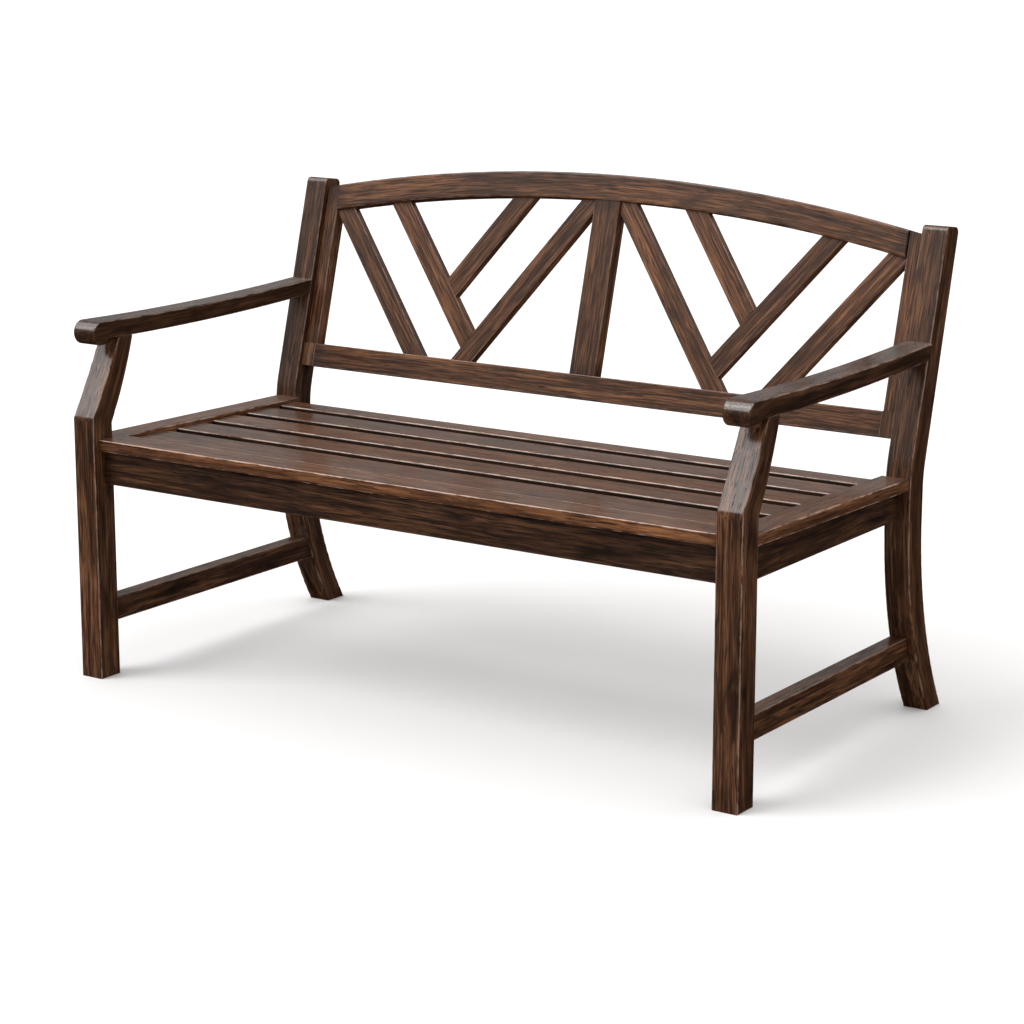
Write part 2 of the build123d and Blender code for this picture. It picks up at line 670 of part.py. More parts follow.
def lattice_holes():
    """Holes for the lattice's dowels, in whatever piece is being made."""
    radius = lattice_dowel_diameter / 2 + pin_fit
    length = lattice_dowel_length + 2 * pin_fit
    for flip in (1, -1):
        turned = Plane(origin=back_plane.origin, x_dir=(flip, 0, 0), z_dir=back_plane.z_dir * flip)
        with Locations(turned):
            for joint in lattice_joints:
                spot = (joint.position.X, joint.position.Y, flip * lattice_mid)
                with Locations(Location(spot, (0, 0, joint.orientation.Z))):
                    Cylinder(radius, length, rotation=(0, 90, 0), mode=Mode.SUBTRACT)


stile_tenon_x = (-center_stile_width / 2 + 2 * tenon_shoulder, center_stile_width / 2 - 2 * tenon_shoulder)
stile_tenon_low = (lower_rail_height - tenon_length * 0.7, lower_rail_height)
stile_tenon_high = (arch_s(0, inner_arch) - tenon_shoulder, arch_s(0, inner_arch) + tenon_length * 0.7)

with BuildPart() as lower_back_rail:
    rail_n = (-back_rail_setback - back_rail_thickness, -back_rail_setback)
    back_block((glue_gap - opening_edge, opening_edge - glue_gap), (0, lower_rail_height), rail_n)
    fillet(lower_back_rail.edges().filter_by(Axis.X), radius=rail_edge)
    for side in (-1, 1):
        ends = sorted((side * back_tenon_x[0], side * back_tenon_x[1]))
        back_block(ends, lower_rail_tenon_s, back_tenon_n)
    back_block(stile_tenon_x, stile_tenon_low, back_tenon_n, gap=tenon_fit, mode=Mode.SUBTRACT)
    lattice_holes()
save(lower_back_rail, "back_lower_rail")

with BuildSketch() as arch_band:
    with BuildLine():
        rail_bend = opening_edge - trimmed_end
        ends = []
        for radius in (arch_radius, inner_arch):
            bend_s = arch_s(rail_bend, radius)
            arch = ThreePointArc((-rail_bend, bend_s), (0, arch_s(0, radius)), (rail_bend, bend_s))
            ends.append((arch @ 0 - arch % 0 * 2 * trimmed_end, arch @ 1 + arch % 1 * 2 * trimmed_end))
            Line(ends[-1][0], arch @ 0)
            Line(arch @ 1, ends[-1][1])
        Line(ends[0][0], ends[1][0])
        Line(ends[0][1], ends[1][1])
    make_face()

with BuildPart() as top_rail:
    with BuildSketch(back_plane.offset(-back_rail_setback)):
        add(arch_band.sketch)
    extrude(amount=-back_rail_thickness)
    rail_edges = top_rail.edges().filter_by(lambda edge: abs(edge.tangent_at(0.5).X) > cos(lean))
    fillet(rail_edges, radius=top_rail_edge)
    for side in (-1, 1):
        kept_half = Keep.BOTTOM if side > 0 else Keep.TOP
        split(bisect_by=Plane.YZ.offset(side * (opening_edge - glue_gap)), keep=kept_half)
        reach = sorted((side * back_tenon_x[0], side * back_tenon_x[1]))
        back_block(reach, top_rail_tenon_s, back_tenon_n)
    back_block(stile_tenon_x, stile_tenon_high, back_tenon_n, gap=tenon_fit, mode=Mode.SUBTRACT)
    lattice_holes()
save(top_rail, "back_top_rail")

with BuildPart() as side_stile:
    with BuildSketch(back_plane.offset(-stile_setback)):
        with BuildLine():
            stile_x = (opening_edge, leg_inner - glue_gap)
            stile_foot = lower_rail_height + glue_gap
            tops = [(x, arch_s(x, arch_radius)) for x in stile_x]
            Polyline((stile_x[0], stile_foot), (stile_x[1], stile_foot), tops[1], tops[0], close=True)
        make_face()
    extrude(amount=-stile_thickness)
    fillet(side_stile.edges().filter_by(lambda edge: edge.length > crown_reach / 2), radius=rail_edge)
    back_block(back_tenon_x, top_rail_tenon_s, back_tenon_n, gap=tenon_fit, mode=Mode.SUBTRACT)
save_pair(side_stile, "back_stile")

with BuildPart() as corner_piece:
    back_block((opening_edge, leg_inner - glue_gap), (0, lower_rail_height), rail_n)
    back_block(back_tenon_x, lower_rail_tenon_s, back_tenon_n, gap=tenon_fit, mode=Mode.SUBTRACT)
save_pair(corner_piece, "back_corner_piece")

with BuildPart() as center_stile:
    with BuildSketch(back_plane.offset(-stile_setback)):
        with BuildLine():
            edge_x = center_stile_width / 2
            edge_s = arch_s(edge_x, inner_arch) - glue_gap
            Polyline((-edge_x, edge_s), (-edge_x, stile_foot), (edge_x, stile_foot), (edge_x, edge_s))
            ThreePointArc((-edge_x, edge_s), (0, arch_s(0, inner_arch) - glue_gap), (edge_x, edge_s))
        make_face()
    extrude(amount=-stile_thickness)
    fillet(center_stile.edges().filter_by(lambda edge: edge.length > crown_reach / 2), radius=rail_edge)
    back_block(stile_tenon_x, (stile_tenon_low[0], stile_foot), back_tenon_n)
    back_block(stile_tenon_x, (edge_s - tenon_shoulder, stile_tenon_high[1]), back_tenon_n)
save(center_stile, "back_center_stile")

# ---------------------------------------------------------------- lattice
with BuildSketch() as panel:
    with BuildLine():
        low = lower_rail_height + glue_gap
        inner, outer = center_stile_width / 2 + glue_gap, opening_edge - glue_gap
        middle = (inner + outer) / 2
        near, far = arch_s(inner, inner_arch) - glue_gap, arch_s(outer, inner_arch) - glue_gap
        Polyline((inner, near), (inner, low), (outer, low), (outer, far))
        ThreePointArc((inner, near), (middle, arch_s(middle, inner_arch) - glue_gap), (outer, far))
    make_face()


def lattice_bar(bar, stop=None, side=0):
    """A bar across the panel, cut off at the edge of the bar that it lands on."""
    with BuildPart() as piece:
        with BuildSketch(back_plane.offset(-lattice_setback)):
            add(panel.sketch)
            with Locations(bar):
                Rectangle(bench_width, lattice_width, mode=Mode.INTERSECT)
            if stop is not None:
                align = (Align.CENTER, Align.MIN if side > 0 else Align.MAX)
                with Locations(stop):
                    with Locations((0, side * (lattice_width / 2 + glue_gap))):
                        Rectangle(bench_width * 2, bench_width, align=align, mode=Mode.INTERSECT)
        extrude(amount=-lattice_thickness)
        long_edges = piece.edges().filter_by(lambda edge: edge.length > lattice_width * 1.6)
        fillet(long_edges, radius=lattice_edge)
        lattice_holes()
    return piece


save_pair(lattice_bar(outer_bar), "lattice_outer_long")
save_pair(lattice_bar(outer_short_bar, inner_bar, -1), "lattice_outer_short")
save_pair(lattice_bar(inner_short_bar, outer_short_bar, 1), "lattice_inner_short")
save_pair(lattice_bar(inner_bar), "lattice_inner_long")

# ---------------------------------------------------------------- fasteners
with BuildPart() as screws_in_slats:
    slat_screws()
save(screws_in_slats, "slat_screws")

with BuildPart() as screws_in_blocks:
    block_screws()
save(screws_in_blocks, "corner_block_screws")

with BuildPart() as dowels_in_boards:
    board_dowels()
save(dowels_in_boards, "seat_board_dowels")
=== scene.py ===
"""Two-seat hall bench: finished wood pieces, screws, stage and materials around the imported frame.

Metres.  X runs along the bench, Y from front to back, Z up; the floor is at Z = 0.
"""
from math import cos, pi, radians, sin

import bmesh
import bpy
import numpy as np
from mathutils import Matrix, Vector


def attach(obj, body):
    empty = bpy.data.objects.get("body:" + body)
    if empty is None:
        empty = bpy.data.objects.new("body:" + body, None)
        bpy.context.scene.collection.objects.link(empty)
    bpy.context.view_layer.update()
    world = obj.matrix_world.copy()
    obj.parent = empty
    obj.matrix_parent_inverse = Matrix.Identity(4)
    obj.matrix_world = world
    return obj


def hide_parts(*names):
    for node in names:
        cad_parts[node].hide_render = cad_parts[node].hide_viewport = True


bl_info = {
    "name": "Hall bench",
    "version": (1, 0, 0),
    "blender": (4, 5, 0),
    "location": "3D View > Sidebar > Bench",
    "description": "Finishes a two-seat slatted bench: stained wood, slats, screws and a stage",
    "category": "Object",
}

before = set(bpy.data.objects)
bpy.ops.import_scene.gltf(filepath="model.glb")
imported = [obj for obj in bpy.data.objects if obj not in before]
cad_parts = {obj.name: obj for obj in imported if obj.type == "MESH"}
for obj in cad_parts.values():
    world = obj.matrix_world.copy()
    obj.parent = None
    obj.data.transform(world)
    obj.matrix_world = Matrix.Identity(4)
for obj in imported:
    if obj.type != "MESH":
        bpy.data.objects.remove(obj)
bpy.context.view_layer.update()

MM = 0.001
BACK_LEAN = radians(15.4)
SEAT_PITCH = radians(1.0)
ALONG_BENCH = Vector((1, 0, 0))
TO_THE_BACK = Vector((0, 1, 0))
UPRIGHT = Vector((0, 0, 1))
UP_THE_BACK = Vector((0, sin(BACK_LEAN), cos(BACK_LEAN)))
SEAT_DEPTH = Vector((0, cos(SEAT_PITCH), -sin(SEAT_PITCH)))
SEAT_UP = Vector((0, sin(SEAT_PITCH), cos(SEAT_PITCH)))
SEED = 41

# Copying a sawn piece from the frame.
WELD = 0.002 * MM
FLAT_WITHIN = radians(0.4)
CUT_WITHIN = 0.001 * MM
NEAR_A_CUT = 0.55  # of the distance between cuts
AT_THE_SHOULDER = 0.88  # of a half size; points nearer the middle may be on a tenon
FAR_FROM_ENDS = 1.0  # added to the half length of a piece whose ends show no seam
SMOOTH_BELOW = radians(38)
NAME_STEP, NAME_RANGE = 31, 9973  # turn a piece's name into its number

# The slats, counted from the front: the first of each run of like ones, and how many it has.
SLATS = 5
SLAT_RUNS = ((1, 1), (2, 3), (5, 1))
SLAT_CUTS = 24
SLAT_EDGE_STEPS = 6
GRAIN_OF_RUN = 0.17  # times the first slat's place: the piece number that its run starts at
GRAIN_IN_RUN = 0.381  # from one slat's piece number to the next in its run

# Patterns: how often each repeats in a metre, along the grain, across it and into the wood.
WAVER = (5.0, 14.0, 14.0)
BROAD_STREAKS = (2.4, 62.0, 62.0)
NARROW_STREAKS = (9.0, 300.0, 300.0)
PORE_LINES = (22.0, 560.0, 560.0)
PATCHES = (9.0, 34.0, 34.0)
RUBBING = (38.0, 150.0, 150.0)
POLISHING = (7.0, 9.0, 9.0)
PLATING = (900.0, 900.0, 900.0)
FLOOR_SPECKS = 60.0
PIECE_SHIFT = (31.7, 5.3, 7.9)  # how far the grain of piece number 1 lies from that of 0
WAVER_REACH = 0.010

# Where in a pattern an effect begins and where it is full; then, if not from 0 to 1, how strong.
LIGHT_BROAD = (0.42, 0.72)
LIGHT_STREAK = (0.46, 0.74)
LIGHT_BESIDE_PORES = (0.32, 0.62, 0.30, 1.12)
DARK_STREAK = (0.53, 0.34)
DARK_PATCH = (0.50, 0.30)
DARK_PORE = (0.46, 0.34)
PIECE_TONE = (0.0, 1.0, 0.86, 1.16)
# The lighter edges are partly wear and partly a painted highlight along the arrises.
WORN_HIGHLIT_REACH = (0.32, 0.70, 0.35, 1.35)
WORN_HIGHLIT_DEPTH = (0.30, 0.55, 0.5, 1.0)
WORN_HIGHLIT_TO_EDGE = (1.0, 0.25)
SEAM_TO_END = (1.0, 0.3)
# Painted shade on a slat's sides where they face a gap: near its side, and below its top.
GAP_SHADE_SIDE = (1.4 * MM, 0.3 * MM)
GAP_SHADE_BELOW_TOP = (0.8 * MM, 2.6 * MM)
FACING_UP = (0.35, 0.95)
POLISH_CLOUD = (0.3, 0.7)
FILM_CLOUD = (0.3, 0.7, 0.5, 1.0)
PLATING_TONE = (0.35, 0.65)
PLATING_ROUGHNESS = (0.3, 0.7, 0.24, 0.46)

# How strongly each effect takes part, as a share or as an added roughness.
LIGHT_STREAK_SHARE, DARK_STREAK_SHARE = 0.8, 0.85
PORE_SHARE, DARK_SHARE = 0.9, 0.9
STREAK_HEIGHT, PORE_HEIGHT = 0.4, 0.6
# The first darkens a piece beside a joint as painted shade; the other two set how dark the seam
# line and that painted shade are.
JOINT_SHADE_SHARE, SEAM_SHARE, SEAM_TONE = 0.45, 0.9, 0.25
PORE_ROUGHNESS, POLISH_ROUGHNESS, RUBBED_ROUGHNESS = 0.16, 0.08, -0.05
GLOSS_LOST_IN_PORES = 0.6
DOWEL_ROUGHNESS, DOWEL_PORE_ROUGHNESS = 0.6, 0.2
DOWEL_PIECE, DOWEL_DARK, DOWEL_LIGHT = 0.4, 0.5, 1.4
ZINC_DUST, DULL_ZINC = 0.25, 0.72
SPECK_TONE = 0.99

# Each finish of the stained wood: see stained_wood.
# The seat's lighter tone is partly painted sheen on its tops, and its fully lightened edges are
# partly a painted highlight.
SEAT_FINISH = dict(
    streaks=0.6, mottle=0.5, worn_and_highlit=1.0, film=0.02, roughness=0.40, coat=0.7, tone=1.75
)
FINISHES = {
    "Stained wood": dict(streaks=1.0, mottle=0.9, worn_and_highlit=0.42, roughness=0.42, coat=0.6),
    # A lighter tone, partly painted sheen on the back's faces.
    "Stained back wood": dict(
        streaks=0.9, mottle=0.7, worn_and_highlit=0.35, roughness=0.44, coat=0.42, tone=1.5
    ),
    # A darker tone, partly painted shade on the armrests' sides.
    "Stained arm wood": dict(
        streaks=0.8, mottle=0.8, worn_and_highlit=0.5, roughness=0.40, coat=0.95, tone=0.8
    ),
    "Stained rail wood": dict(
        streaks=0.75, mottle=0.9, worn_and_highlit=0.12, roughness=0.46, coat=0.45, tone=0.76
    ),
    "Stained board wood": SEAT_FINISH,
    # Painted shade on the slats' sides in the gaps between them.
    "Stained slat wood": dict(SEAT_FINISH, gap_shade=0.85),
    "Hidden stained wood": dict(streaks=0.5, mottle=0.6, worn_and_highlit=0.2, roughness=0.55, coat=0.05),
}

# A countersunk screw: distances down from its head, or up from its tip, and the radii there.
SCREW_SIDES = 16
HEAD_RIM = 0.25 * MM
NECK_AT, CORE_AT = 2.8 * MM, 4.0 * MM
THREAD_RADIUS = 2.2 * MM
THREAD_FROM, THREAD_TO_TIP = 5.0 * MM, 5.0 * MM
CREST, ROOT = 0.45 * MM, 0.9 * MM
POINT_LENGTH = 4.0 * MM
TIP_RADIUS, TIP_AT = 0.15 * MM, 0.1 * MM
CROSS_ARM, CROSS_SLOT, CROSS_DEPTH = 2.5 * MM, 0.55 * MM, 1.7 * MM
CROSS_CORNERS = ((CROSS_ARM, -CROSS_SLOT), (CROSS_ARM, CROSS_SLOT), (CROSS_SLOT, CROSS_SLOT))
CROSS_TAPER = 0.62  # its size at the bottom, as a share of that at the top

# The lamp and the white surroundings: how strong they are for each kind of ray.
KEY_TOWARD = Vector((-0.49, -0.58, 0.65))
KEY_STRENGTH, KEY_SPREAD = 1.65, radians(38)
WHITE = (1.0, 0.995, 0.99, 1.0)
SEEN_STRENGTH, DIFFUSE_STRENGTH, BOX_STRENGTH = 1.05, 1.06, 4.4
HORIZON_RISE = (0.0, 0.16)
HORIZON_BEHIND = (-0.35, 0.45, 0.20, 0.32)  # from the front to the back, and its strengths there
BOX_HEIGHT, BOX_IN_FRONT = (0.60, 0.80), (0.35, -0.05)

FLOOR_REACH = 60.0
CAMERA_AZIMUTH, CAMERA_ELEVATION = radians(34.183), radians(13.119)
CAMERA_TARGET, CAMERA_DISTANCE = Vector((0.0412, -0.044, 0.3147)), 4.5025
CAMERA_LENS, CAMERA_SENSOR = 97.86, 36.0
CAMERA_SEES_TO = 200.0


def colour(name, description, value):
    """A colour a user may change."""
    return bpy.props.FloatVectorProperty(
        name=name, description=description, subtype="COLOR", size=3, min=0.0, max=1.0, default=value
    )


def length(name, description, value):
    """A length a user may change, in metres."""
    return bpy.props.FloatProperty(
        name=name, description=description, default=value, min=0.0,
        subtype="DISTANCE", unit="LENGTH",
    )


class BenchSizes(bpy.types.PropertyGroup):
    """Lengths a user may change"""

    slat_edge: length("Slat edge", "Rounding of a slat's long edges", 3.0 * MM)
    grain_cut: length(
        "Cut spacing", "How closely a curved piece is cut so that its grain follows it", 14 * MM
    )
    # The lighter edges are partly wear and partly a painted highlight.
    worn_highlit_width: length("Worn and highlit width", "How far the rubbed edges reach onto a face", 2.6 * MM)
    seam_width: length(
        "Seam width", "Width of the dark line where a piece ends at a joint", 0.9 * MM
    )
    # Painted shade that darkens a piece beside a joint.
    joint_shade_width: length(
        "Soft seam width", "How far polish and dust darken a piece beside a joint", 30 * MM
    )
    screw_head: length("Screw head", "Radius of a countersunk screw head", 4.2 * MM)
    screw_core: length("Screw core", "Radius of a screw between its threads", 1.65 * MM)
    thread_pitch: length("Thread pitch", "Distance between a screw's threads", 2.2 * MM)


class BenchColours(bpy.types.PropertyGroup):
    """Colours a user may change"""

    # The dark stain is also the colour of the painted shade in gaps and beside joints.
    dark_stain_and_shade: colour(
        "Dark stain", "The stain in the pores and dark streaks", (0.0050, 0.0019, 0.0008)
    )
    stain_mid: colour("Middle stain", "The stain's usual tone", (0.0430, 0.0152, 0.0050))
    stain_light: colour(
        "Light streaks", "Reddish-brown streaks where the wood took less stain",
        (0.142, 0.0570, 0.0215),
    )
    # A lighter colour for the edges: partly wear, partly a painted highlight.
    worn_and_highlit: colour("Rubbed edge", "Wood showing through at rubbed edges", (0.370, 0.235, 0.175))
    dust: colour("Dust", "Thin film on upward faces", (0.36, 0.31, 0.28))
    dowel: colour("Dowel", "Plain beech", (0.46, 0.27, 0.13))
    zinc: colour("Zinc", "Zinc-plated steel", (0.60, 0.60, 0.58))
    floor: colour("Floor", "Studio floor", (0.90, 0.895, 0.893))


def sizes():
    return bpy.context.scene.bench_sizes


def colours():
    return bpy.context.scene.bench_colours


# ---------------------------------------------------------------- node trees
class Wiring:
    """Short words for the nodes that the trees here use."""

    def __init__(self, tree):
        self.tree = tree

    def link(self, source, target):
        self.tree.links.new(source, target)

    def feed(self, socket, value):
        if isinstance(value, bpy.types.NodeSocket):
            self.link(value, socket)
        else:
            socket.default_value = value

    def node(self, kind, values=(), **settings):
        """A node with its settings, and values or links in its inputs, in order or by name."""
        made = self.tree.nodes.new(kind)
        for key, value in settings.items():
            setattr(made, key, value)
        for key, value in values.items() if isinstance(values, dict) else enumerate(values):
            self.feed(made.inputs[key], value)
        return made

    def group(self, name, **values):
        """A shader group with its own values; an underscore stands for a space."""
        made = self.node("ShaderNodeGroup", node_tree=bpy.data.node_groups[name])
        for label, value in values.items():
            self.feed(made.inputs[label.replace("_", " ")], value)
        return made

    def math(self, operation, a, b=0.0, c=0.0, clamp=False):
        made = self.node("ShaderNodeMath", (a, b, c), operation=operation, use_clamp=clamp)
        return made.outputs[0]

    def vector(self, operation, a, b=(0, 0, 0)):
        return self.node("ShaderNodeVectorMath", (a, b), operation=operation).outputs[0]

    def split(self, vector):
        return self.node("ShaderNodeSeparateXYZ", (vector,)).outputs

    def join(self, x=0.0, y=0.0, z=0.0):
        return self.node("ShaderNodeCombineXYZ", (x, y, z)).outputs[0]

    def noise(self, place, scale=1.0, detail=2.0, roughness=0.5, distortion=0.0):
        values = {
            "Vector": place, "Scale": scale, "Detail": detail,
            "Roughness": roughness, "Distortion": distortion,
        }
        return self.node("ShaderNodeTexNoise", values).outputs["Fac"]

    def pattern(self, place, repeats, **noise):
        """Noise that repeats so often in a metre along each axis."""
        return self.noise(self.vector("MULTIPLY", place, repeats), **noise)

    def between(self, value, low, high, to_low=0.0, to_high=1.0):
        """Value from low to high, smoothly, as to_low to to_high."""
        values = (value, low, high, to_low, to_high)
        return self.node("ShaderNodeMapRange", values, interpolation_type="SMOOTHSTEP").outputs[0]

    def mix(self, share_of_b, a, b, blend="MIX"):
        values = {0: share_of_b, 6: a, 7: b}
        return self.node("ShaderNodeMix", values, data_type="RGBA", blend_type=blend).outputs[2]

    def store(self, geometry, name, kind, value):
        """A point attribute on a geometry."""
        values = {"Geometry": geometry, "Name": name}
        settings = {"data_type": kind, "domain": "POINT"}
        made = self.node("GeometryNodeStoreNamedAttribute", values, **settings)
        self.feed(next(s for s in made.inputs if s.name == "Value" and s.enabled), value)
        return made.outputs["Geometry"]

    def realise(self, instances, material, result):
        """The end of a geometry tree: its instances as real meshes, with their material."""
        real = self.node("GeometryNodeRealizeInstances", {"Geometry": instances})
        values = {"Geometry": real.outputs["Geometry"], "Material": material}
        painted = self.node("GeometryNodeSetMaterial", values)
        self.link(painted.outputs["Geometry"], result["Geometry"])


def new_group(name, inputs, outputs, kind="ShaderNodeTree"):
    """An empty node tree: its inputs are (name, kind, default), its outputs (name, kind).

    Returns its wiring, the sockets of what it is given, and those of its results.
    """
    tree = bpy.data.node_groups.new(name, kind)
    for label, value_kind, default in inputs:
        socket = tree.interface.new_socket(
            label, in_out="INPUT", socket_type="NodeSocket" + value_kind
        )
        if default is not None:
            socket.default_value = default
    for label, value_kind in outputs:
        tree.interface.new_socket(label, in_out="OUTPUT", socket_type="NodeSocket" + value_kind)
    given, result = tree.nodes.new("NodeGroupInput"), tree.nodes.new("NodeGroupOutput")
    return Wiring(tree), given.outputs, result.inputs


# ---------------------------------------------------------------- shader groups
def grain_group():
    """Lengthwise pores, streaks and broad figure of a stained hardwood, along each piece."""
    w, given, result = new_group(
        "Wood grain",
        [
            ("Grain", "Vector", None),
            ("Piece", "Float", 0.5),
            ("Dark", "Color", (0, 0, 0, 1)),
            ("Middle", "Color", (0, 0, 0, 1)),
            ("Light", "Color", (0, 0, 0, 1)),
            ("Streaks", "Float", 1.0),
            ("Mottle", "Float", 1.0),
        ],
        [("Colour", "Color"), ("Pores", "Float"), ("Height", "Float")],
    )
    shift = w.vector("SCALE", PIECE_SHIFT)
    w.link(given["Piece"], shift.node.inputs["Scale"])
    place = w.vector("ADD", given["Grain"], shift)
    waver = w.pattern(place, WAVER)
    sway = w.math("MULTIPLY", w.math("SUBTRACT", waver, 0.5), WAVER_REACH)
    x, y, z = w.split(place)
    swayed = w.join(x, w.math("ADD", y, sway), w.math("ADD", z, sway))
    broad = w.pattern(swayed, BROAD_STREAKS, detail=3.0, roughness=0.6, distortion=0.35)
    streak = w.pattern(swayed, NARROW_STREAKS, detail=3.0, roughness=0.7)
    fine = w.pattern(swayed, PORE_LINES, roughness=0.6)
    patch = w.pattern(place, PATCHES, detail=3.0, roughness=0.6, distortion=0.6)

    light_streak = w.math("MULTIPLY", w.between(streak, *LIGHT_STREAK), LIGHT_STREAK_SHARE)
    light = w.math("ADD", w.between(broad, *LIGHT_BROAD), light_streak)
    light = w.math("MULTIPLY", light, w.between(fine, *LIGHT_BESIDE_PORES))
    light = w.math("MULTIPLY", light, given["Streaks"], clamp=True)
    dark = w.math("MULTIPLY", w.between(streak, *DARK_STREAK), DARK_STREAK_SHARE)
    dark_patch = w.math("MULTIPLY", w.between(patch, *DARK_PATCH), given["Mottle"])
    dark = w.math("MAXIMUM", dark, dark_patch)
    pores = w.between(fine, *DARK_PORE)
    dark = w.math("MAXIMUM", dark, w.math("MULTIPLY", pores, PORE_SHARE), clamp=True)

    toned = w.mix(light, given["Middle"], given["Light"])
    toned = w.mix(w.math("MULTIPLY", dark, DARK_SHARE), toned, given["Dark"])
    tone = w.between(given["Piece"], *PIECE_TONE)
    w.link(w.mix(1.0, toned, w.join(tone, tone, tone), "MULTIPLY"), result["Colour"])
    w.link(pores, result["Pores"])
    pore_height = w.math("MULTIPLY", fine, PORE_HEIGHT)
    height = w.math("MULTIPLY_ADD", streak, STREAK_HEIGHT, pore_height)
    w.link(height, result["Height"])


def edge_and_shade_group():
    """Masks for a sawn piece: its lighter edges, partly wear and partly a painted highlight; the
    dark seam round its ends, with painted shade beside the joint; and painted shade on its two
    sides in a gap.
    """
    w, given, result = new_group(
        "Edges and seams",
        [
            ("Grain", "Vector", None),
            ("Half sizes", "Vector", None),
            ("Width", "Float", 0.003),
            ("Seam", "Float", 0.001),
            ("Soft seam", "Float", 0.03),
            ("Amount", "Float", 1.0),
        ],
        [("Worn and highlit", "Float"), ("Seam", "Float"), ("Gap shade", "Float")],
    )
    inside = w.vector("SUBTRACT", given["Half sizes"], w.vector("ABSOLUTE", given["Grain"]))
    to_end, to_side, to_top = w.split(inside)
    to_edge = w.math("MAXIMUM", to_side, to_top)
    # The lighter edges: partly wear, partly a painted highlight.
    rough = w.pattern(given["Grain"], RUBBING, detail=3.0, roughness=0.65)
    reach = w.math("MULTIPLY", given["Width"], w.between(rough, *WORN_HIGHLIT_REACH))
    near_edge = w.between(w.math("DIVIDE", to_edge, reach), *WORN_HIGHLIT_TO_EDGE)
    worn_and_highlit = w.math("MULTIPLY", near_edge, given["Amount"])
    worn_and_highlit = w.math("MULTIPLY", worn_and_highlit, w.between(rough, *WORN_HIGHLIT_DEPTH), clamp=True)
    w.link(worn_and_highlit, result["Worn and highlit"])
    # The dark seam line at a joint, and painted shade reaching further along the piece beside it.
    sharp = w.between(w.math("DIVIDE", to_end, given["Seam"]), *SEAM_TO_END)
    soft = w.math("MULTIPLY", w.between(to_end, given["Soft seam"], 0.0), JOINT_SHADE_SHARE)
    w.link(w.math("MAXIMUM", sharp, soft), result["Seam"])
    # Painted shade on a piece's sides, below its top, where they face a gap.
    on_side, below_top = w.between(to_side, *GAP_SHADE_SIDE), w.between(to_top, *GAP_SHADE_BELOW_TOP)
    w.link(w.math("MULTIPLY", on_side, below_top), result["Gap shade"])


def dust_group():
    """A thin uneven film on faces that look up, and slow changes of the polish."""
    w, given, result = new_group(
        "Film and polish",
        [("Place", "Vector", None), ("Normal", "Vector", None), ("Amount", "Float", 0.1)],
        [("Film", "Float"), ("Polish", "Float")],
    )
    cloud = w.pattern(given["Place"], POLISHING, detail=4.0, roughness=0.6)
    facing_up = w.between(w.split(given["Normal"])[2], *FACING_UP)
    film = w.math("MULTIPLY", facing_up, w.between(cloud, *FILM_CLOUD))
    w.link(w.math("MULTIPLY", film, given["Amount"]), result["Film"])
    w.link(w.between(cloud, *POLISH_CLOUD), result["Polish"])


# ---------------------------------------------------------------- materials
def toned_rgba(value, tone=1.0):
    """A colour with its alpha, darker or lighter by a tone and never over white."""
    return (*(min(1.0, part * tone) for part in value), 1.0)


def new_material(name):
    """An empty material: its wiring and its main shader."""
    material = bpy.data.materials.new(name)
    material.use_nodes = True
    return Wiring(material.node_tree), material.node_tree.nodes["Principled BSDF"]


def film_and_polish(w, amount):
    """The film group on an object's own place and faces."""
    film = w.group("Film and polish", Amount=amount)
    w.link(w.node("ShaderNodeTexCoord").outputs["Object"], film.inputs["Place"])
    w.link(w.node("ShaderNodeNewGeometry").outputs["Normal"], film.inputs["Normal"])
    return film


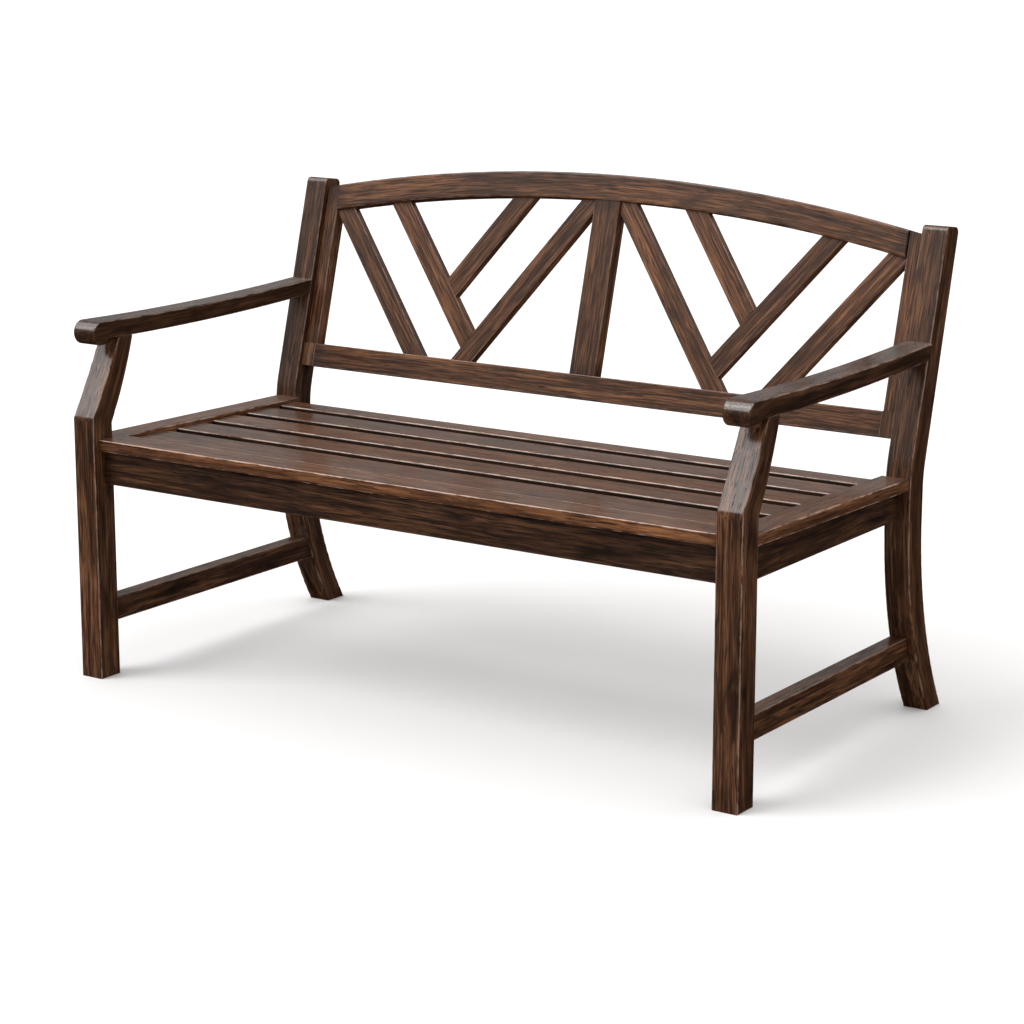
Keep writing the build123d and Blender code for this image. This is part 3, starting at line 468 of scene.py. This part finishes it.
def stained_wood(name, streaks, mottle, worn_and_highlit, roughness, coat, film=0.0, gap_shade=0.0, tone=1.0):
    """A material of the stained wood.

    Streaks and mottle are its light streaks and dark patches; the edge amount lightens its edges,
    partly as wear and partly as a painted highlight; film is its dust and coat its gloss; the gap
    amount is painted shade on its sides in a gap; and tone makes it all lighter. On the seat and
    back a lighter tone is partly painted sheen, and on the arms a darker one partly painted shade.
    """
    c, s = colours(), sizes()
    w, surface = new_material(name)
    grain_at = w.node("ShaderNodeAttribute", attribute_name="grain").outputs["Vector"]
    half_sizes = w.node("ShaderNodeAttribute", attribute_name="half_sizes").outputs["Vector"]
    piece = w.node("ShaderNodeAttribute", attribute_name="piece").outputs["Fac"]
    grain = w.group(
        "Wood grain", Grain=grain_at, Piece=piece, Dark=toned_rgba(c.dark_stain_and_shade, tone),
        Middle=toned_rgba(c.stain_mid, tone), Light=toned_rgba(c.stain_light, tone),
        Streaks=streaks, Mottle=mottle,
    )
    edges = w.group(
        "Edges and seams", Grain=grain_at, Half_sizes=half_sizes, Width=s.worn_highlit_width,
        Seam=s.seam_width, Soft_seam=s.joint_shade_width, Amount=worn_and_highlit,
    )
    polish = film_and_polish(w, film)
    # Lighter edges: partly wear, partly a painted highlight.
    base = w.mix(edges.outputs["Worn and highlit"], grain.outputs["Colour"], toned_rgba(c.worn_and_highlit))
    base = w.mix(polish.outputs["Film"], base, toned_rgba(c.dust))
    # Painted shade on the sides of a slat facing a gap.
    gap_shade_share = w.math("MULTIPLY", edges.outputs["Gap shade"], gap_shade)
    base = w.mix(gap_shade_share, base, toned_rgba(c.dark_stain_and_shade))
    # The dark seam line at a joint, and the painted shade beside it.
    seam_and_joint_shade = w.math("MULTIPLY", edges.outputs["Seam"], SEAM_SHARE)
    base = w.mix(seam_and_joint_shade, base, toned_rgba(c.dark_stain_and_shade, SEAM_TONE))
    w.link(base, surface.inputs["Base Color"])

    pores = grain.outputs["Pores"]
    rough = w.math("MULTIPLY_ADD", pores, PORE_ROUGHNESS, roughness)
    unpolished = w.math("MULTIPLY", polish.outputs["Polish"], POLISH_ROUGHNESS)
    worn = w.math("MULTIPLY", edges.outputs["Worn and highlit"], RUBBED_ROUGHNESS)
    rough = w.math("ADD", w.math("ADD", rough, unpolished), worn)
    w.link(rough, surface.inputs["Roughness"])
    gloss = w.math("MULTIPLY_ADD", pores, -GLOSS_LOST_IN_PORES * coat, coat, clamp=True)
    w.link(gloss, surface.inputs["Coat Weight"])
    values = {"Strength": 0.22, "Distance": 0.25 * MM, "Height": grain.outputs["Height"]}
    w.link(w.node("ShaderNodeBump", values).outputs["Normal"], surface.inputs["Normal"])
    surface.inputs["Specular IOR Level"].default_value = 0.2
    surface.inputs["Coat Roughness"].default_value = 0.17
    surface.inputs["Coat IOR"].default_value = 1.5


def plain_wood(name):
    """Unstained dowel wood."""
    dowel = colours().dowel
    w, surface = new_material(name)
    place = w.node("ShaderNodeTexCoord").outputs["Object"]
    grain = w.group(
        "Wood grain", Grain=place, Piece=DOWEL_PIECE, Dark=toned_rgba(dowel, DOWEL_DARK),
        Middle=toned_rgba(dowel), Light=toned_rgba(dowel, DOWEL_LIGHT), Streaks=0.6, Mottle=0.3,
    )
    w.link(grain.outputs["Colour"], surface.inputs["Base Color"])
    pores = grain.outputs["Pores"]
    rough = w.math("MULTIPLY_ADD", pores, DOWEL_PORE_ROUGHNESS, DOWEL_ROUGHNESS)
    w.link(rough, surface.inputs["Roughness"])


def zinc_steel(name):
    """Zinc-plated screw steel, with slow changes of the plating and dust in the recess."""
    c = colours()
    w, surface = new_material(name)
    polish = film_and_polish(w, ZINC_DUST)
    place = w.node("ShaderNodeTexCoord").outputs["Object"]
    plating = w.pattern(place, PLATING, detail=3.0, roughness=0.6)
    patchy = w.between(plating, *PLATING_TONE)
    tone = w.mix(patchy, toned_rgba(c.zinc, DULL_ZINC), toned_rgba(c.zinc))
    dusty = w.mix(polish.outputs["Film"], tone, toned_rgba(c.dust))
    w.link(dusty, surface.inputs["Base Color"])
    w.link(w.between(plating, *PLATING_ROUGHNESS), surface.inputs["Roughness"])
    surface.inputs["Metallic"].default_value = 1.0


def studio_floor(name):
    """Pale seamless floor."""
    floor = colours().floor
    w, surface = new_material(name)
    place = w.node("ShaderNodeTexCoord").outputs["Object"]
    speck = w.noise(place, FLOOR_SPECKS, detail=3.0)
    speckled = w.mix(speck, toned_rgba(floor), toned_rgba(floor, SPECK_TONE))
    w.link(speckled, surface.inputs["Base Color"])
    surface.inputs["Roughness"].default_value = 0.85
    surface.inputs["Specular IOR Level"].default_value = 0.1


def material_named(name):
    return bpy.data.materials[name]


# ---------------------------------------------------------------- finished wood pieces
def write_attribute(mesh, name, kind, values):
    """A point attribute from a number array."""
    attribute = mesh.attributes.new(name, kind, "POINT")
    field = "value" if kind == "FLOAT" else "vector"
    attribute.data.foreach_set(field, np.ascontiguousarray(values, np.float32).ravel())


def piece_number(name):
    """A fixed share between 0 and 1 for a piece, so that no two have the same grain."""
    total = SEED
    for letter in name:
        total = (total * NAME_STEP + ord(letter)) % NAME_RANGE
    return total / NAME_RANGE


def middle_and_half(values):
    """The middle of a spread of values, and half its width."""
    return (values.min() + values.max()) / 2, (values.max() - values.min()) / 2


def piece_coordinates(points, along, across, out, step=None):
    """Each point's place along, across and out of a piece, and the piece's half sizes there.

    With a step, the middle line across is followed from cut to cut, so it may bend.
    """
    far, side, up = (points @ np.array(axis) for axis in (along, across, out))
    up_middle, half_up = middle_and_half(up)
    if step is None:
        side_middle, side_half = middle_and_half(side)
        middle, half_side = np.full(len(far), side_middle), np.full(len(far), side_half)
        shoulder = abs(side - side_middle) > AT_THE_SHOULDER * side_half
    else:
        cuts = np.arange(far.min(), far.max() + step, step)
        low, high = [], []
        for cut in cuts:
            near = abs(far - cut) < step * NEAR_A_CUT
            low.append(side[near].min() if near.any() else np.nan)
            high.append(side[near].max() if near.any() else np.nan)
        low, high = np.array(low), np.array(high)
        known = ~np.isnan(low)
        low = np.interp(far, cuts[known], low[known])
        high = np.interp(far, cuts[known], high[known])
        middle, half_side = (low + high) / 2, (high - low) / 2
        shoulder = abs(up - up_middle) > AT_THE_SHOULDER * half_up
    far_middle, half_length = middle_and_half(far[shoulder])
    grain = np.stack([far - far_middle, side - middle, up - up_middle], 1)
    half = np.stack([np.full(len(far), half_length), half_side, np.full(len(far), half_up)], 1)
    return grain, half


def smooth_with_flats(piece):
    """Rounded edges shaded smooth while the flats stay flat."""
    piece.data.shade_smooth()
    piece.data.set_sharp_from_angle(angle=SMOOTH_BELOW)
    weighted = piece.modifiers.new("Flat faces", "WEIGHTED_NORMAL")
    weighted.keep_sharp = True
    weighted.weight = 100


def link_to_scene(name, data):
    """A new object in the scene."""
    made = bpy.data.objects.new(name, data)
    bpy.context.scene.collection.objects.link(made)
    return made


def welded_copy(node):
    """A frame node's mesh as a bmesh, its doubled points made one."""
    work = bmesh.new()
    work.from_mesh(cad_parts[node].data)
    bmesh.ops.remove_doubles(work, verts=work.verts, dist=WELD)
    return work


def finish_piece(node, along, across, material, curved=False, joined=True):
    """A finished copy of a sawn piece, with its own grain; joined if its ends show a seam."""
    out = along.cross(across).normalized()
    work = welded_copy(node)
    bmesh.ops.dissolve_limit(work, angle_limit=FLAT_WITHIN, verts=work.verts, edges=work.edges)
    step = sizes().grain_cut if curved else None
    if curved:
        reach = [vert.co.dot(along) for vert in work.verts]
        for cut in np.arange(min(reach) + step, max(reach), step):
            parts = work.verts[:] + work.edges[:] + work.faces[:]
            bmesh.ops.bisect_plane(
                work, geom=parts, plane_co=along * cut, plane_no=along, dist=CUT_WITHIN
            )
    mesh = bpy.data.meshes.new(node + "_wood")
    work.to_mesh(mesh)
    work.free()
    points = np.array([vert.co for vert in mesh.vertices], float)
    grain, half = piece_coordinates(points, along, across, out, step)
    if not joined:
        half[:, 0] += FAR_FROM_ENDS
    write_attribute(mesh, "grain", "FLOAT_VECTOR", grain)
    write_attribute(mesh, "half_sizes", "FLOAT_VECTOR", half)
    write_attribute(mesh, "piece", "FLOAT", np.full(len(points), piece_number(node)))
    piece = link_to_scene(node + "_wood", mesh)
    mesh.materials.append(material_named(material))
    smooth_with_flats(piece)
    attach(piece, "root")
    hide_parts(node)


def corners_of(node):
    """The points of a frame node, as an array."""
    return np.array([vert.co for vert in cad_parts[node].data.vertices], float)


def both_sides(name):
    """The names of a pair of pieces."""
    return [f"{name}_{side}" for side in ("left", "right")]


# ---------------------------------------------------------------- Geometry Nodes
def apply_tree(name, mesh, tree, values):
    """Run a geometry tree on a mesh and keep the result as a plain mesh object."""
    holder = link_to_scene(name + "_holder", mesh)
    modifier = holder.modifiers.new(name, "NODES")
    modifier.node_group = tree
    inputs = (item for item in tree.interface.items_tree if item.in_out == "INPUT")
    identifiers = {item.name: item.identifier for item in inputs}
    for label, value in values.items():
        modifier[identifiers[label]] = value
    holder.update_tag()
    depsgraph = bpy.context.evaluated_depsgraph_get()
    result = bpy.data.meshes.new_from_object(holder.evaluated_get(depsgraph), depsgraph=depsgraph)
    result.name = name
    holder.modifiers.clear()
    bpy.data.objects.remove(holder)
    return link_to_scene(name, result)


def slats_tree():
    """Slats of one width: a rounded section swept along the bench, repeated towards the back."""
    w, value, result = new_group(
        "Slats",
        [
            ("Geometry", "Geometry", None),
            ("Half length", "Float", 0.5),
            ("Width", "Float", 0.06),
            ("Thickness", "Float", 0.018),
            ("Edge", "Float", 0.003),
            ("Count", "Int", 1),
            ("Pitch", "Float", 0.09),
            ("First piece", "Float", 0.1),
            ("Material", "Material", None),
        ],
        [("Geometry", "Geometry")],
        "GeometryNodeTree",
    )
    section = w.node(
        "GeometryNodeCurvePrimitiveQuadrilateral",
        {"Width": value["Width"], "Height": value["Thickness"]},
    )
    rounded = w.node(
        "GeometryNodeFilletCurve",
        {"Curve": section.outputs["Curve"], "Count": SLAT_EDGE_STEPS, "Radius": value["Edge"]},
        mode="POLY",
    )
    half_length = value["Half length"]
    start = w.join(w.math("MULTIPLY", half_length, -1.0))
    line = w.node(
        "GeometryNodeCurvePrimitiveLine", {"Start": start, "End": w.join(half_length)}
    )
    cut = w.node(
        "GeometryNodeResampleCurve", {"Curve": line.outputs["Curve"], "Count": SLAT_CUTS}
    )
    sweep = w.node(
        "GeometryNodeCurveToMesh",
        {
            "Curve": cut.outputs["Curve"],
            "Profile Curve": rounded.outputs["Curve"],
            "Fill Caps": True,
        },
    )
    position = w.node("GeometryNodeInputPosition").outputs[0]
    slat = w.store(sweep.outputs["Mesh"], "grain", "FLOAT_VECTOR", position)
    half_width = w.math("MULTIPLY", value["Width"], 0.5)
    half_thickness = w.math("MULTIPLY", value["Thickness"], 0.5)
    half_sizes = w.join(half_length, half_width, half_thickness)
    slat = w.store(slat, "half_sizes", "FLOAT_VECTOR", half_sizes)
    offset = w.join(0.0, value["Pitch"], 0.0)
    places = w.node(
        "GeometryNodeMeshLine", {"Count": value["Count"], "Offset": offset}, mode="OFFSET"
    )
    index = w.node("GeometryNodeInputIndex").outputs[0]
    number = w.math("ADD", value["First piece"], w.math("MULTIPLY", index, GRAIN_IN_RUN))
    row = w.store(places.outputs["Mesh"], "piece", "FLOAT", w.math("FRACT", number))
    repeat = w.node("GeometryNodeInstanceOnPoints", {"Points": row, "Instance": slat})
    w.realise(repeat.outputs["Instances"], value["Material"], result)
    return w.tree


def screws_tree():
    """One screw on each point, turned to the point's aim and by a fixed random amount."""
    w, value, result = new_group(
        "Screws",
        [
            ("Geometry", "Geometry", None),
            ("Screw", "Object", None),
            ("Seed", "Int", SEED),
            ("Material", "Material", None),
        ],
        [("Geometry", "Geometry")],
        "GeometryNodeTree",
    )
    screw = w.node("GeometryNodeObjectInfo", {"Object": value["Screw"]})
    aim = w.node("GeometryNodeInputNamedAttribute", {"Name": "aim"}, data_type="FLOAT_VECTOR")
    turned = w.node(
        "FunctionNodeAlignRotationToVector", {"Vector": aim.outputs["Attribute"]}, axis="Z"
    )
    twist = w.node("FunctionNodeRandomValue", data_type="FLOAT")
    least, most, seed = (
        s for s in twist.inputs if s.enabled and s.name in ("Min", "Max", "Seed")
    )
    for socket, given in ((least, 0.0), (most, 2 * pi), (seed, value["Seed"])):
        w.feed(socket, given)
    spin = w.node(
        "FunctionNodeAxisAngleToRotation",
        {"Axis": (0, 0, 1), "Angle": next(s for s in twist.outputs if s.enabled)},
    )
    both = w.node(
        "FunctionNodeRotateRotation", (turned.outputs[0], spin.outputs[0]), rotation_space="LOCAL"
    )
    repeat = w.node(
        "GeometryNodeInstanceOnPoints",
        {
            "Points": value["Geometry"],
            "Instance": screw.outputs["Geometry"],
            "Rotation": both.outputs[0],
        },
    )
    w.realise(repeat.outputs["Instances"], value["Material"], result)
    return w.tree


def solids_of(node):
    """The separate solids of a node, each as an array of its points."""
    work = welded_copy(node)
    seen, found = set(), []
    for first in work.verts:
        if first in seen:
            continue
        seen.add(first)
        group, waiting = [], [first]
        while waiting:
            vert = waiting.pop()
            group.append(tuple(vert.co))
            for edge in vert.link_edges:
                other = edge.other_vert(vert)
                if other not in seen:
                    seen.add(other)
                    waiting.append(other)
        found.append(np.array(group))
    work.free()
    return found


def screw_places(node):
    """Where each screw's head is, and the way it points, from head to tip; and their length."""
    places, aims, reach = [], [], 0.0
    for points in solids_of(node):
        middle = points.mean(0)
        axis = np.linalg.svd(points - middle)[2][0]
        far = (points - middle) @ axis
        width = np.linalg.norm((points - middle) - np.outer(far, axis), axis=1)
        if far[width.argmax()] > 0:
            axis, far = -axis, -far
        line = (points.min(0) + points.max(0)) / 2
        line_far = (line - middle) @ axis
        places.append(line + axis * (far.min() - line_far))
        aims.append(axis)
        reach = far.max() - far.min()
    return np.array(places), np.array(aims), reach


def screw_mesh(name, reach):
    """A countersunk screw with a cross recess and a thread, head at the origin, pointing up Z."""
    s = sizes()
    head, core = s.screw_head, s.screw_core
    profile = [(head, 0.0), (head, HEAD_RIM), (THREAD_RADIUS, NECK_AT), (core, CORE_AT)]
    height = THREAD_FROM
    while height < reach - THREAD_TO_TIP:
        profile += [(core, height), (THREAD_RADIUS, height + CREST), (core, height + ROOT)]
        height += s.thread_pitch
    profile += [(core, reach - POINT_LENGTH), (TIP_RADIUS, reach - TIP_AT)]
    work = bmesh.new()
    turns = [2 * pi * side / SCREW_SIDES for side in range(SCREW_SIDES)]
    rings = []
    for radius, level in profile:
        ring = [work.verts.new((radius * cos(turn), radius * sin(turn), level)) for turn in turns]
        rings.append(ring)
    for lower, upper in zip(rings, rings[1:]):
        for this in range(SCREW_SIDES):
            after = (this + 1) % SCREW_SIDES
            work.faces.new((lower[this], lower[after], upper[after], upper[this]))
    work.faces.new(rings[-1])
    cross = []
    for quarter in range(4):
        turn = quarter * pi / 2
        for x, y in CROSS_CORNERS:
            cross.append((x * cos(turn) - y * sin(turn), x * sin(turn) + y * cos(turn)))
    rim = [work.verts.new((x, y, 0.0)) for x, y in cross]
    floor = [work.verts.new((x * CROSS_TAPER, y * CROSS_TAPER, CROSS_DEPTH)) for x, y in cross]
    count = len(cross)
    for this in range(count):
        after = (this + 1) % count
        work.faces.new((rim[this], floor[this], floor[after], rim[after]))
    work.faces.new(floor)
    # The flat of the head, between its outer ring and the recess.
    borders = []
    for ring in (rings[0], rim):
        borders += [work.edges.get(pair) for pair in zip(ring, ring[1:] + ring[:1])]
    bmesh.ops.triangle_fill(work, use_beauty=True, edges=borders)
    bmesh.ops.recalc_face_normals(work, faces=work.faces)
    mesh = bpy.data.meshes.new(name)
    work.to_mesh(mesh)
    work.free()
    return mesh


# ---------------------------------------------------------------- operators
class BENCH_OT_materials(bpy.types.Operator):
    """Make the shader groups and the materials of every finish"""

    bl_idname = "bench.materials"
    bl_label = "Materials"

    def execute(self, context):
        grain_group()
        edge_and_shade_group()
        dust_group()
        for name, finish in FINISHES.items():
            stained_wood(name, **finish)
        plain_wood("Dowel wood")
        zinc_steel("Zinc steel")
        studio_floor("Studio floor")
        return {"FINISHED"}


class BENCH_OT_side_frames(bpy.types.Operator):
    """Finish the legs, armrests and low stretchers"""

    bl_idname = "bench.side_frames"
    bl_label = "Side frames"

    def execute(self, context):
        for node in both_sides("front_leg") + both_sides("rear_leg"):
            finish_piece(node, UPRIGHT, TO_THE_BACK, "Stained wood", curved=True, joined=False)
        for node in both_sides("armrest"):
            finish_piece(node, TO_THE_BACK, UPRIGHT, "Stained arm wood", curved=True, joined=False)
        for node in both_sides("side_stretcher"):
            finish_piece(node, TO_THE_BACK, UPRIGHT, "Stained wood")
        return {"FINISHED"}


class BENCH_OT_seat_frame(bpy.types.Operator):
    """Finish the rails under the seat and what is between them"""

    bl_idname = "bench.seat_frame"
    bl_label = "Seat frame"

    def execute(self, context):
        finish_piece("front_rail", ALONG_BENCH, UPRIGHT, "Stained rail wood")
        finish_piece("rear_rail", ALONG_BENCH, UPRIGHT, "Stained rail wood")
        for node in both_sides("side_rail"):
            finish_piece(node, TO_THE_BACK, UPRIGHT, "Stained rail wood")
        finish_piece("seat_bearer", TO_THE_BACK, UPRIGHT, "Hidden stained wood")
        for node in both_sides("seat_cleat"):
            finish_piece(node, SEAT_DEPTH, ALONG_BENCH, "Hidden stained wood")
        for node in both_sides("corner_block_front") + both_sides("corner_block_rear"):
            finish_piece(node, ALONG_BENCH, TO_THE_BACK, "Hidden stained wood")
        return {"FINISHED"}


class BENCH_OT_seat_boards(bpy.types.Operator):
    """Finish the boards that frame the slats"""

    bl_idname = "bench.seat_boards"
    bl_label = "Seat boards"

    def execute(self, context):
        wood = "Stained board wood"
        finish_piece("seat_front_board", ALONG_BENCH, SEAT_DEPTH, wood, joined=False)
        for node in both_sides("seat_end_board"):
            finish_piece(node, SEAT_DEPTH, ALONG_BENCH, wood, joined=False)
        return {"FINISHED"}


class BENCH_OT_slats(bpy.types.Operator):
    """Lay the slats: a wide one in front, like ones behind it and a narrow one at the back"""

    bl_idname = "bench.slats"
    bl_label = "Slats"

    def execute(self, context):
        s = sizes()
        tree = slats_tree()
        spans = []
        for number in range(1, SLATS + 1):
            corners = corners_of(f"seat_slat_{number}")
            reach, level = corners @ np.array(SEAT_DEPTH), corners @ np.array(SEAT_UP)
            spans.append((reach.min(), reach.max(), level.min(), level.max(), corners[:, 0].max()))
        low, high, half_length = spans[0][2:]
        laid = 0
        for first, count in SLAT_RUNS:
            start, end = spans[first - 1][:2]
            pitch = spans[first][0] - start if count > 1 else 0.0
            piece = apply_tree(
                f"slats_from_{first}",
                bpy.data.meshes.new("slat_start"),
                tree,
                {
                    "Half length": half_length,
                    "Width": end - start,
                    "Thickness": high - low,
                    "Edge": s.slat_edge,
                    "Count": count,
                    "Pitch": pitch,
                    "First piece": GRAIN_OF_RUN * first,
                    "Material": material_named("Stained slat wood"),
                },
            )
            centre = SEAT_DEPTH * ((start + end) / 2) + SEAT_UP * ((low + high) / 2)
            for vert in piece.data.vertices:
                x, y, z = vert.co
                vert.co = ALONG_BENCH * x + SEAT_DEPTH * y + SEAT_UP * z + centre
            smooth_with_flats(piece)
            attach(piece, "root")
            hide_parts(*[f"seat_slat_{number}" for number in range(first, first + count)])
            laid += count
        if laid != SLATS:
            raise RuntimeError("not every slat was laid")
        return {"FINISHED"}


class BENCH_OT_back(bpy.types.Operator):
    """Finish the back's rails, stiles and corner pieces"""

    bl_idname = "bench.back"
    bl_label = "Back"

    def execute(self, context):
        finish_piece("back_top_rail", ALONG_BENCH, UP_THE_BACK, "Stained back wood", curved=True)
        finish_piece("back_lower_rail", ALONG_BENCH, UP_THE_BACK, "Stained back wood")
        for node in both_sides("back_corner_piece"):
            finish_piece(node, UP_THE_BACK, ALONG_BENCH, "Stained back wood", joined=False)
        for node in both_sides("back_stile") + ["back_center_stile"]:
            finish_piece(node, UP_THE_BACK, ALONG_BENCH, "Stained back wood")
        return {"FINISHED"}


class BENCH_OT_lattice(bpy.types.Operator):
    """Finish the slanting bars, each with its grain along the bar"""

    bl_idname = "bench.lattice"
    bl_label = "Lattice"

    def execute(self, context):
        for name in ("outer_long", "outer_short", "inner_short", "inner_long"):
            for node in both_sides("lattice_" + name):
                corners = corners_of(node)
                flat = np.stack([corners[:, 0], corners @ np.array(UP_THE_BACK)], 1)
                slant = np.linalg.svd(flat - flat.mean(0))[2][0]
                along = (ALONG_BENCH * slant[0] + UP_THE_BACK * slant[1]).normalized()
                across = (ALONG_BENCH * -slant[1] + UP_THE_BACK * slant[0]).normalized()
                finish_piece(node, along, across, "Stained back wood", joined=False)
        return {"FINISHED"}


class BENCH_OT_screws(bpy.types.Operator):
    """Drive the countersunk screws, and paint the dowels inside the joints"""

    bl_idname = "bench.screws"
    bl_label = "Screws and dowels"

    def execute(self, context):
        tree = screws_tree()
        for node in ("slat_screws", "corner_block_screws"):
            places, aims, reach = screw_places(node)
            name = node + "_pattern"
            pattern = bpy.data.objects.new(name, screw_mesh(name, reach))
            points = bpy.data.meshes.new(node + "_places")
            points.from_pydata([tuple(place) for place in places], [], [])
            write_attribute(points, "aim", "FLOAT_VECTOR", aims)
            steel = material_named("Zinc steel")
            values = {"Screw": pattern, "Seed": SEED, "Material": steel}
            piece = apply_tree(node + "_steel", points, tree, values)
            bpy.data.objects.remove(pattern)
            if not piece.data.polygons:
                raise RuntimeError(f"no screws were made for {node}")
            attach(piece, "root")
            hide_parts(node)
        for node in ("lattice_dowels", "seat_board_dowels"):
            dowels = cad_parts[node]
            dowels.data.materials.clear()
            dowels.data.materials.append(material_named("Dowel wood"))
        return {"FINISHED"}


def soft_sun(name, toward, strength, spread):
    """A very large soft lamp, far off in the given direction."""
    lamp = bpy.data.lights.new(name, "SUN")
    lamp.energy, lamp.angle = strength, spread
    link_to_scene(name, lamp).rotation_euler = toward.to_track_quat("Z", "Y").to_euler()


def studio_world():
    """White surroundings.

    What shines in the wood is a bright box high up in front, and a dim band round the horizon,
    a little brighter behind the bench; nothing shines from below.
    """
    world = bpy.data.worlds.new("Studio")
    world.use_nodes = True
    w = Wiring(world.node_tree)
    _, backward, upward = w.split(w.node("ShaderNodeTexCoord").outputs["Generated"])
    rising = w.between(upward, *HORIZON_RISE)
    horizon = w.math("MULTIPLY", rising, w.between(backward, *HORIZON_BEHIND))
    high = w.between(upward, *BOX_HEIGHT)
    box = w.math("MULTIPLY", high, w.between(backward, *BOX_IN_FRONT))
    shine = w.math("MULTIPLY_ADD", box, BOX_STRENGTH, horizon)
    ray = w.node("ShaderNodeLightPath").outputs
    seen = w.math("MULTIPLY", ray["Is Camera Ray"], SEEN_STRENGTH)
    spread = w.math("MULTIPLY", ray["Is Diffuse Ray"], DIFFUSE_STRENGTH)
    shining = w.math("MULTIPLY", ray["Is Glossy Ray"], shine)
    background = world.node_tree.nodes["Background"]
    strength = w.math("ADD", w.math("ADD", seen, spread), shining)
    w.link(strength, background.inputs["Strength"])
    background.inputs["Color"].default_value = WHITE
    return world


def place_camera():
    """The camera, aimed at the bench from its right front."""
    level = cos(CAMERA_ELEVATION)
    away = Vector((
        sin(CAMERA_AZIMUTH) * level, -cos(CAMERA_AZIMUTH) * level, sin(CAMERA_ELEVATION)
    ))
    data = bpy.data.cameras.new("camera")
    data.lens, data.sensor_width = CAMERA_LENS, CAMERA_SENSOR
    data.clip_end = CAMERA_SEES_TO
    camera = link_to_scene("camera", data)
    camera.location = CAMERA_TARGET + away * CAMERA_DISTANCE
    camera.rotation_euler = away.to_track_quat("Z", "Y").to_euler()
    return camera


class BENCH_OT_stage(bpy.types.Operator):
    """Set the floor, the soft lights, the surroundings and the camera"""

    bl_idname = "bench.stage"
    bl_label = "Stage"

    def execute(self, context):
        scene = context.scene
        scene.view_settings.view_transform = "Standard"
        scene.view_settings.look = "None"
        far = FLOOR_REACH
        mesh = bpy.data.meshes.new("studio_floor")
        corners = [(-far, -far, 0), (far, -far, 0), (far, far, 0), (-far, far, 0)]
        mesh.from_pydata(corners, [], [(0, 1, 2, 3)])
        floor = link_to_scene("studio_floor", mesh)
        mesh.materials.append(material_named("Studio floor"))
        floor.visible_glossy = False
        scene.world = studio_world()
        soft_sun("key", KEY_TOWARD, KEY_STRENGTH, KEY_SPREAD)
        scene.camera = place_camera()
        return {"FINISHED"}


STEPS = (
    BENCH_OT_materials,
    BENCH_OT_side_frames,
    BENCH_OT_seat_frame,
    BENCH_OT_seat_boards,
    BENCH_OT_slats,
    BENCH_OT_back,
    BENCH_OT_lattice,
    BENCH_OT_screws,
    BENCH_OT_stage,
)


class BENCH_PT_panel(bpy.types.Panel):
    """The bench's steps, sizes and colours in the sidebar"""

    bl_idname = "BENCH_PT_panel"
    bl_label = "Hall bench"
    bl_space_type = "VIEW_3D"
    bl_region_type = "UI"
    bl_category = "Bench"

    def draw(self, context):
        for step in STEPS:
            self.layout.operator(step.bl_idname)
        for group in (context.scene.bench_sizes, context.scene.bench_colours):
            for label in group.bl_rna.properties.keys():
                if label not in ("rna_type", "name"):
                    self.layout.prop(group, label)


CLASSES = (BenchSizes, BenchColours, *STEPS, BENCH_PT_panel)


def register():
    for each in CLASSES:
        bpy.utils.register_class(each)
    bpy.types.Scene.bench_sizes = bpy.props.PointerProperty(type=BenchSizes)
    bpy.types.Scene.bench_colours = bpy.props.PointerProperty(type=BenchColours)


def unregister():
    del bpy.types.Scene.bench_colours
    del bpy.types.Scene.bench_sizes
    for each in reversed(CLASSES):
        bpy.utils.unregister_class(each)


def main():
    register()
    for step in STEPS:
        group, name = step.bl_idname.split(".")
        getattr(getattr(bpy.ops, group), name)()


if __name__ == "__main__":
    main()
